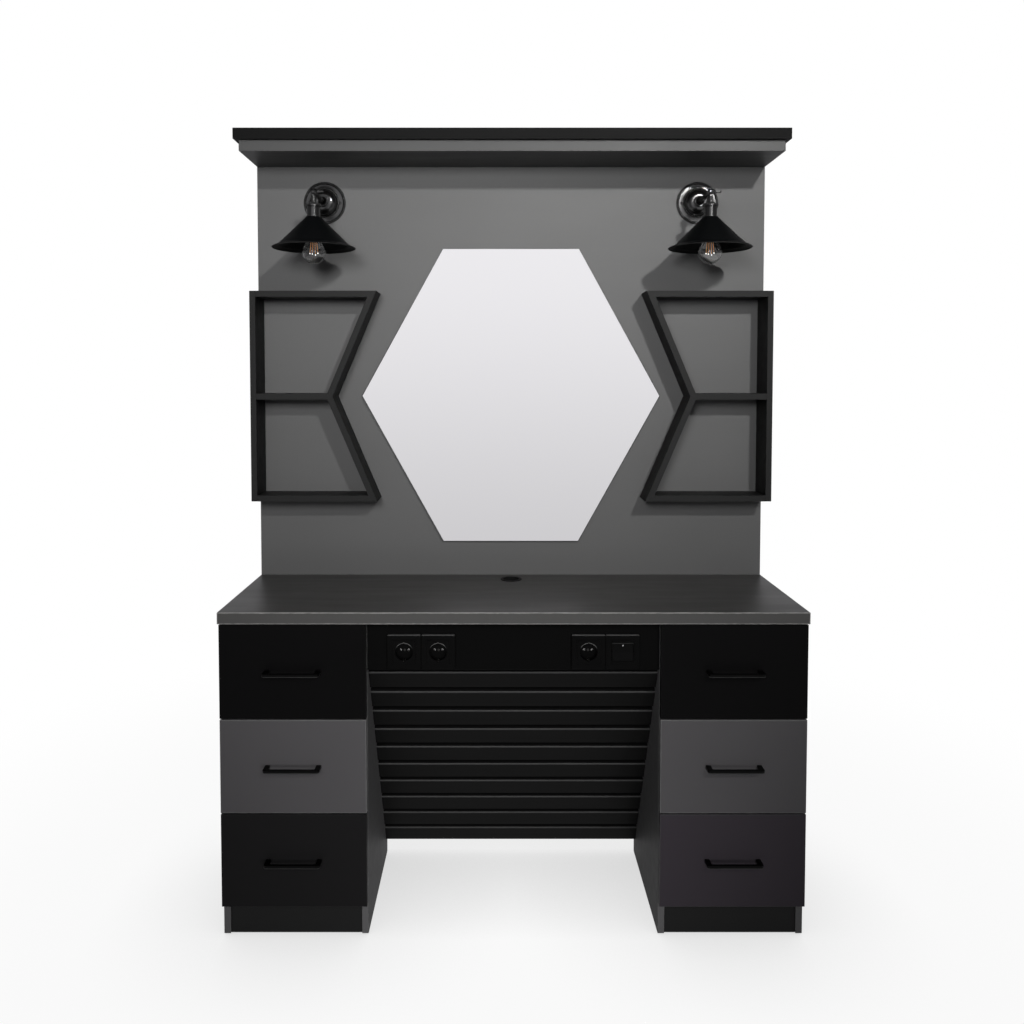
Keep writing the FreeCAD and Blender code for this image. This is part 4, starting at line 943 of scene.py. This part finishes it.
def globe_outline(shrink):
    """Arc of the globe, then a flank to the neck: a cubic Hermite curve that leaves along the
    arc's own direction and arrives upright."""
    r = GLOBE - shrink
    a = np.radians(np.linspace(-90, GLOBE_TURN, 44))
    arc = np.stack([r * np.cos(a), GLOBE_DROP + r * np.sin(a)], -1)
    t = np.linspace(0, 1, 18)[1:, None]
    start, end = arc[-1], np.array([NECK - shrink, NECK_TOP])
    lean = np.array([-math.sin(a[-1]), math.cos(a[-1])]) * LEAVING
    rise = np.array([0.0, 1.0]) * ARRIVING
    h00, h10 = 2 * t ** 3 - 3 * t ** 2 + 1, t ** 3 - 2 * t ** 2 + t
    h01, h11 = 3 * t ** 2 - 2 * t ** 3, t ** 3 - t ** 2
    flank = h00 * start + h10 * lean + h01 * end + h11 * rise
    return np.concatenate([[(0, arc[0, 1])], arc[1:], flank])


def thread(centre):
    """Radius = cap + depth * cos(height/pitch*turn - angle), between two plain ends."""
    heights = np.linspace(-108 * MM, -84 * MM, 60)
    a = np.linspace(0, 2 * np.pi, 64, endpoint=False)
    wave = np.cos(2 * np.pi * heights[:, None] / THREAD_PITCH - a[None])
    calm = np.clip(np.minimum(heights + 0.1065, -0.0845 - heights) / 0.001, 0, 1)[:, None]
    radii = CAP + THREAD_DEPTH * wave * calm
    points = np.stack([radii * np.cos(a), radii * np.sin(a), heights[:, None] + 0 * radii], -1)
    contact = [(CAP, -0.084), (0.0085, -0.0815), (0.0045, -0.0805), (0, -0.0803)]
    tip = turned(contact, (0, 0, 0), 64)[0]
    foot = turned([(0, -0.108), (CAP, -0.108)], (0, 0, 0), 64)[0]
    return np.concatenate([foot, points, tip]) + centre, False, True


def rod(start, end, radius, steps=12):
    """A straight round bar with rounded ends, between two points."""
    start, end = np.asarray(start, float), np.asarray(end, float)
    length = np.linalg.norm(end - start)
    a = np.linspace(0, np.pi / 2, 5)
    low = np.stack([radius * np.sin(a), radius * (1 - np.cos(a))], -1)
    high = np.stack([radius * np.cos(a), length - radius * (1 - np.sin(a))], -1)
    return turned(np.concatenate([low, high]), start, steps, (end - start) / length)


print("bulb shapes ready")

# %% [markdown]
# ## Bulb finishes
# Clear glass needs only transmission, a low roughness and its index, all plain values, and a
# faint unevenness in its bump. The sticks are silicone over tiny diodes: amber, a little
# translucent and mottled, with a faint painted glow. The bright dots under them are their white
# ceramic ends, whose emission is a painted glint.

# %% Glass and amber finishes
clear_glass, tree, shader = finish_of("clear_glass", Transmission_Weight=1.0, IOR=1.45,
                                      Roughness=0.0)
ripple = speckle(tree, here(tree), 45.0, 2.0)
faint = fade(tree, ripple, -0.4, 0.4)
wire(tree, shader, ripple, 0.03 * MM,
     Base_Color=mixed(tree, faint, (0.985, 0.985, 0.98, 1), (0.995, 0.995, 0.99, 1)))

# emission on the sticks is a faint painted glow: no lamp in the scene sits in the bulb
amber, tree, shader = finish_of("amber_sticks", Specular_IOR_Level=0.5, Subsurface_Weight=0.15,
                                Emission_Strength=0.45)
beads = fade(tree, speckle(tree, here(tree), 900.0, 2.0), -0.25, 0.25)
colour = mixed(tree, beads, (0.62, 0.20, 0.03, 1), (0.95, 0.48, 0.12, 1))
glow = mixed(tree, beads, (0.30, 0.08, 0.01, 1), (0.42, 0.16, 0.03, 1))
wire(tree, shader, beads, 0.1 * MM, Base_Color=colour, Emission_Color=glow,
     Roughness=calc(tree, "MULTIPLY_ADD", beads, 0.1, 0.4))
bright_metal = metal("bright_wire", (0.93, 0.92, 0.90), 0.16)
cap_brass = metal("cap_brass", (0.60, 0.47, 0.26), 0.28)
# emission on the white ends is a painted glint
white_ends, tree, shader = finish_of("white_ends", Specular_IOR_Level=0.6, Emission_Strength=2.2)
dots = fade(tree, speckle(tree, here(tree), 1200.0, 1.0), -0.3, 0.3)
wire(tree, shader, dots, 0.04 * MM,
     Base_Color=mixed(tree, dots, (0.80, 0.79, 0.76, 1), (0.92, 0.92, 0.90, 1)),
     Emission_Color=mixed(tree, dots, (0.80, 0.80, 0.76, 1), (1, 1, 0.97, 1)),
     Roughness=calc(tree, "MULTIPLY_ADD", dots, 0.08, 0.16))
print("bulb finishes ready")

# %% Blow, thread and fit the bulbs
TWIST = {"left": -10, "right": -35}
STICK_RING, STICK_LOW, STICK_HIGH = 10.8 * MM, -159 * MM, -128 * MM
STICK, STICK_END, LEAD, FOOT_LEAD = 0.6 * MM, 1.15 * MM, 0.3 * MM, 0.28 * MM
LEANING_IN, STICKS_MEET, WIRES_MEET = 0.72, -150 * MM, -118 * MM
STAGGER = np.array([1.4, -1.4, 1.4, -1.4]) * MM
STEM = [(0, -0.151), (0.0016, -0.1505), (0.0018, -0.130), (0.0034, -0.1215), (0.0040, -0.117),
        (0.0062, -0.112), (0.0105, -0.1078), (0.0105, -0.1072), (0, -0.1072)]
for side in SIDES:
    centre, head = lamp_axis[side], side + "_lamp_head"
    wall = np.concatenate([globe_outline(0.0), globe_outline(GLASS_WALL)[::-1]])
    piece(side + "_bulb_glass", [turned(wall, centre, 96)], clear_glass, head,
          [side + "_lamp_bulb"])
    piece(side + "_bulb_cap", [thread(centre)], cap_brass, head)
    around = np.radians(TWIST[side] + np.array([0, 90, 180, 270]))
    ring = np.stack([np.cos(around), np.sin(around), 0 * around], -1)
    feet = centre + ring * STICK_RING + np.array([0, 0, STICK_LOW])
    feet[:, 2] += STAGGER
    tops = centre + ring * STICK_RING * LEANING_IN + np.array([0, 0, STICK_HIGH])
    piece(side + "_light_sticks", [rod(a, b, STICK) for a, b in zip(feet, tops)], amber, head)
    ends = [rod(a - (b - a) * 0.075, a + (b - a) * 0.03, STICK_END) for a, b in zip(feet, tops)]
    wires = [rod(a, centre + np.array([0, 0, WIRES_MEET]), LEAD, 8) for a in tops]
    hub = centre + np.array([0, 0, STICKS_MEET])
    wires += [rod(a - (b - a) * 0.05, hub, FOOT_LEAD, 8) for a, b in zip(feet, tops)]
    piece(side + "_bulb_wires", wires, bright_metal, head)
    piece(side + "_stick_ends", ends, white_ends, head)
    piece(side + "_bulb_stem", [turned(STEM, centre, 32)], clear_glass, head)

# %% [markdown]
# ## Inside the sockets
# Each socket's well holds two sprung earth strips with a thin spring on each side of both, two
# contact sleeves behind the pin holes and one slotted screw. A strip is a flat section carried
# along a path that bulges into the well by half a sine wave. The bulge is what touches the plug.

# %% Springs, sleeves and screws of the sockets
insert_points = np.array([v.co for v in nodes["socket_inserts"].data.vertices])
mouth_y = insert_points[:, 1].min()
WELL_DEPTH = 17.5 * MM
FLAT_STRIP = np.array([(-1.9, -0.3), (1.9, -0.3), (1.9, 0.3), (-1.9, 0.3)]) * MM
SLEEVE = [(0.0018, -0.0016), (0.0025, -0.0018), (0.0025, -0.0075), (0.0018, -0.0075),
          (0.0018, -0.0016)]
PIN_OFFSET = 9.5 * MM
strips, sleeves, slotted = [], [], []
for x in socket_x:
    for up in (-1, 1):
        t = np.linspace(0, 1, 17)
        bulge = 1.7 * MM * np.sin(np.pi * np.clip(t * 1.15, 0, 1))
        path = np.stack([0 * t + x, mouth_y + (0.05 + 0.9 * t) * WELL_DEPTH,
                         module_z + up * (WELL + 0.9 * MM - bulge)], -1)
        strips.append(carried(path, FLAT_STRIP, (1, 0, 0)))
        for lean in (-1, 1):
            path = np.stack([x + lean * (2.6 + 1.2 * t) * MM,
                             mouth_y + (0.30 + 0.62 * t) * WELL_DEPTH,
                             module_z + up * (WELL - 0.5 * MM - 1.2 * MM * np.sin(np.pi * t))], -1)
            strips.append(carried(path, FLAT_STRIP * 0.35, (1, 0, 0)))
    floor_y = mouth_y + WELL_DEPTH
    for pin in (-PIN_OFFSET, PIN_OFFSET):
        sleeves.append(turned(SLEEVE, (x + pin, floor_y - 1.2 * MM, module_z), 32, OUTWARD))
    slotted.append(screw_head((x, floor_y, module_z), OUTWARD, radius=3.2 * MM, height=1.5 * MM,
                              cross=False))
piece("earth_springs", strips, spring_steel, stands_for=["earth_clips"])
piece("contact_sleeves", sleeves, bright_metal)
piece("socket_screws", slotted, black_screw)

# %% [markdown]
# ## The switch's lens
# A tiny milky lens in the upper half of the rocker shows where the switch is in the dark. It is
# a low dome whose height falls with the square of the radius, and it rides on the rocker.

# %% Rocker lens
rocker_axis = np.array(joint_at["switch_rock"])
REST_TILT, LENS, LENS_HEIGHT, LENS_FOOT = math.radians(-4.0), 1.5 * MM, 0.55 * MM, -0.3 * MM
LENS_UP = 15.0
# the rocker's face stands 4 mm ahead of its axis and leans out by 0.8 mm over 21 mm
from_axis = np.array([-4.0 - 0.8 * LENS_UP / 21, LENS_UP]) * MM
cos, sin = math.cos(REST_TILT), math.sin(REST_TILT)
turn = np.array([[cos, -sin], [sin, cos]])
lens_at = np.array([rocker_axis[0], *(rocker_axis[1:] + turn @ from_axis)])
r = np.linspace(0, 1, 9)
dome = np.concatenate([np.stack([LENS * r, LENS_HEIGHT * (1 - r ** 2) + 0.1 * MM], -1),
                       [(LENS, LENS_FOOT), (0, LENS_FOOT)]])
lens_white, tree, shader = finish_of("lens_white", Specular_IOR_Level=0.6)
milk = fade(tree, speckle(tree, here(tree), 700.0, 2.0), -0.3, 0.3)
wire(tree, shader, milk, 0.02 * MM,
     Base_Color=mixed(tree, milk, (0.70, 0.71, 0.72, 1), (0.86, 0.87, 0.88, 1)),
     Roughness=calc(tree, "MULTIPLY_ADD", milk, 0.1, 0.12))
piece("switch_lens", [turned(dome, lens_at, 40, OUTWARD)], lens_white, "switch_rocker")

# %% [markdown]
# ## Fixings inside the drawers and on the back
# Two screws come through the inner front of each drawer and hold its handle. Behind the wall
# panel, pressed caps cover the screws that carry the shelf units, the worktop and the
# pedestals. Each set is one mesh, because none of its pieces moves by itself.

# %% Handle screws and cover caps
INNER_FRONT, HALF_LEG = 12 * MM, 6 * MM
for side in SIDES:
    for number in "123":
        label = side + "_drawer_" + number
        low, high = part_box(label + "_handle")
        inner_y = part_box(label + "_front")[1].y + INNER_FRONT
        middle = (low.z + high.z) / 2
        heads = [screw_head((x, inner_y, middle), (0, 1, 0), radius=4.2 * MM, height=2.0 * MM)
                 for x in (low.x + HALF_LEG, high.x - HALF_LEG)]
        piece(label + "_screws", heads, screw_steel, label)
cap_dome = [(r * MM, (0.9 - 0.006 * r ** 2) * MM) for r in (0, 2, 3, 4, 5)]
cap_outline = cap_dome + [(0.0058, 0.00055), (0.0061, 0.0002), (0.0061, 0.0), (0, 0.0)]
HALF_BOARD = 8 * MM
outer_x = abs(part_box("left_outer_side")[1].x - HALF_BOARD)
inner_x = abs(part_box("left_inner_side")[1].x - HALF_BOARD)
shelf_low, shelf_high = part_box("left_shelf_frame")
worktop_z = (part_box("worktop")[0].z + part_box("worktop")[1].z) / 2
SIDE_HEIGHTS, WORKTOP_SPOTS = (0.15, 0.40, 0.65), (-0.6, -0.3, 0.0, 0.3, 0.6)
shelf_spots = [(outer_x, shelf_low.z + 0.05), (outer_x, shelf_high.z - 0.05),
               (0.55, shelf_low.z + HALF_BOARD), (0.55, shelf_high.z - HALF_BOARD),
               (0.58, (shelf_low.z + shelf_high.z) / 2)]
on_one_side = [(x, z) for x in (outer_x, inner_x) for z in SIDE_HEIGHTS] + shelf_spots
spots = [(s * x, z) for s in (-1, 1) for x, z in on_one_side]
spots += [(x, worktop_z) for x in WORKTOP_SPOTS]
caps = [turned(cap_outline, (x, y_back, z), 32, (0, 1, 0)) for x, z in spots]
piece("cover_caps", caps, plastic("cap_plastic", 0.05, 0.45))
print("cover caps:", len(caps))

# %% [markdown]
# ## Floor, background and light
# The floor is a plain pale disc. To the camera it is almost white, with a soft shadow where the
# station stands close over it: the share of open sky above each point, which the ambient
# occlusion node measures, dims the white. Further out it is white altogether, so that no
# horizon shows. Gloss sees half of that white near the station and less of it further out. The
# world is white to the camera and through glass. What metal, mirror and gloss see of it is one
# broad white screen in front of the station, a little greyer lower down, with a dimmer screen
# far out on each side, in a dim room: a mirror needs a tone to show that it is one, and a dark
# lamp shows its roundness only where it has something bright beside something dim. The light
# that the world itself gives is weak in front, where the lamps model the boards, and stronger
# behind the panel.
# One small lamp, high on the right, casts the canopy's clear shadow line, and a broad one on the
# left fills the shadows. Both wear a grid, which keeps most of their light on the upper half, and
# a weak one near the floor gives the pedestals their share. The broad one would stand in the
# middle of the mirror, so it and the low one are told not to show in gloss.

# %% Floor and world
def seen_directly(tree, gloss=1.0):
    """1 for the rays of the camera and of glass, gloss for those of gloss, 0 for those of light."""
    sight = node(tree, "LightPath").outputs
    plain = calc(tree, "MAXIMUM", sight["Is Camera Ray"], sight["Is Transmission Ray"])
    return calc(tree, "MAXIMUM", plain, calc(tree, "MULTIPLY", sight["Is Glossy Ray"], gloss))


FLOOR_LEVEL = -0.6 * MM
FLOOR_STEPS = 64
rings = [(radius, FLOOR_LEVEL) for radius in (0.0, 1.6, 3.4)]
floor_grid = turned(rings, (0, 0, 0), FLOOR_STEPS)
floor_mesh = bpy.data.meshes.new("floor")
floor_mesh.from_pydata(floor_grid[0].reshape(-1, 3), [],
                       grid_faces(len(rings), FLOOR_STEPS, False, True, 0)[:, ::-1].tolist())
floor = bpy.data.objects.new("floor", floor_mesh)
bpy.context.scene.collection.objects.link(floor)
pale, tree, shader = finish_of("pale_floor", Base_Color=(0.80, 0.80, 0.80, 1), Roughness=0.9,
                               Specular_IOR_Level=0.1)
distance = measured(tree, "LENGTH", here(tree))
whiteness = between(tree, fade(tree, distance, 0.9, 2.4), 0.94, 1.0)
open_sky = node(tree, "AmbientOcclusion", {"Distance": 0.35}, samples=6).outputs["AO"]
contact = between(tree, open_sky, 0.66, 1.0)
white = node(tree, "Emission", {"Color": (1, 1, 1, 1), "Strength": contact})
glossed = between(tree, fade(tree, distance, 3.3, 1.7), 0.26, 0.51)
share = calc(tree, "MULTIPLY", seen_directly(tree, glossed), whiteness)
blend = node(tree, "MixShader", {0: share, 1: shader.outputs[0], 2: white.outputs[0]})
tree.links.new(blend.outputs[0], tree.nodes["Material Output"].inputs["Surface"])
floor_mesh.materials.append(pale)

world = bpy.data.worlds.new("studio")
bpy.context.scene.world = world
world.use_nodes = True
tree = world.node_tree
direction = node(tree, "TexCoord").outputs["Generated"]
across, ahead, height = node(tree, "SeparateXYZ", {0: direction}).outputs
off_middle = calc(tree, "ABSOLUTE", across)


def screen_mask(beside, above, below):
    """1 on a screen. Each of the three edges is a pair: where the mask is 0, and where it is 1."""
    upright = calc(tree, "MULTIPLY", fade(tree, height, *above), fade(tree, height, *below))
    return calc(tree, "MULTIPLY", fade(tree, off_middle, *beside), upright)


graded = between(tree, fade(tree, height, -0.26, 0.17), 0.68, 0.97)
screen = screen_mask(beside=(0.56, 0.34), above=(0.44, 0.28), below=(-0.42, -0.22))
side_screens = screen_mask(beside=(0.66, 0.90), above=(0.12, -0.10), below=(-0.55, -0.30))
room = between(tree, side_screens, 0.15, 0.53)
mirrored = node(tree, "LightPath").outputs["Is Glossy Ray"]
tone = mixed(tree, mirrored, (1, 1, 1, 1), (0.96, 0.955, 0.98, 1))
seen = calc(tree, "MULTIPLY_ADD", screen, calc(tree, "SUBTRACT", graded, room), room)
level = calc(tree, "MULTIPLY_ADD", mirrored, calc(tree, "SUBTRACT", seen, 1.0), 1.0)
bright = node(tree, "Background", {"Color": tone, "Strength": level})
soft = tree.nodes["Background"]
soft.inputs["Color"].default_value = (0.97, 0.98, 1.0, 1)
tree.links.new(between(tree, fade(tree, ahead, 0.0, 0.6), 0.09, 0.35), soft.inputs["Strength"])
blend = node(tree, "MixShader", {0: seen_directly(tree), 1: soft.outputs[0], 2: bright.outputs[0]})
tree.links.new(blend.outputs[0], tree.nodes["World Output"].inputs["Surface"])
print("world:", len(tree.nodes), "nodes")


# %% Lamps of the studio
def studio_lamp(name, place, target, size, power, spread, colour=(1, 1, 1)):
    """A square area lamp that points at a target, with a grid that narrows it to spread degrees."""
    data = bpy.data.lights.new(name, "AREA")
    data.size, data.energy, data.color = size, power, colour
    data.spread = math.radians(spread)
    lamp = bpy.data.objects.new(name, data)
    lamp.location = place
    lamp.rotation_euler = (Vector(target) - Vector(place)).to_track_quat("-Z", "Y").to_euler()
    bpy.context.scene.collection.objects.link(lamp)
    return lamp


key = studio_lamp("key", (1.5, -4.0, 3.3), (0.25, 0.2, 1.95), size=0.17, power=8.5, spread=46,
                  colour=(1.0, 0.995, 0.98))
fill = studio_lamp("fill", (-0.5, -3.0, 2.0), (-0.17, 0.2, 1.84), size=0.7, power=10.5, spread=65)
low_lamp = studio_lamp("low_lamp", (0.45, -2.3, 0.32), (-0.1, -0.2, 0.0), size=0.4, power=1.45,
                       spread=50)
for lamp in (fill, low_lamp):
    lamp.visible_glossy = False
print("studio lamps:", len((key, fill, low_lamp)))

# %% [markdown]
# ## Camera
# The camera stands at chest height, a little left of the middle, and leans down a little. A
# lens shift then frames the station without tilting its upright lines any further.

# %% Camera
view = bpy.data.cameras.new("camera")
view.lens, view.sensor_width = 31.64, 36.0
view.shift_x, view.shift_y = 0.0161, -0.0968
LEAN_DOWN = 0.042
camera = bpy.data.objects.new("camera", view)
camera.location = (-0.0427, -2.3013, 1.3552)
camera.rotation_euler = (math.pi / 2 - LEAN_DOWN, 0, 0)
bpy.context.scene.collection.objects.link(camera)
bpy.context.scene.camera = camera
bpy.context.scene.view_settings.view_transform = "Standard"
print("camera at", tuple(camera.location))
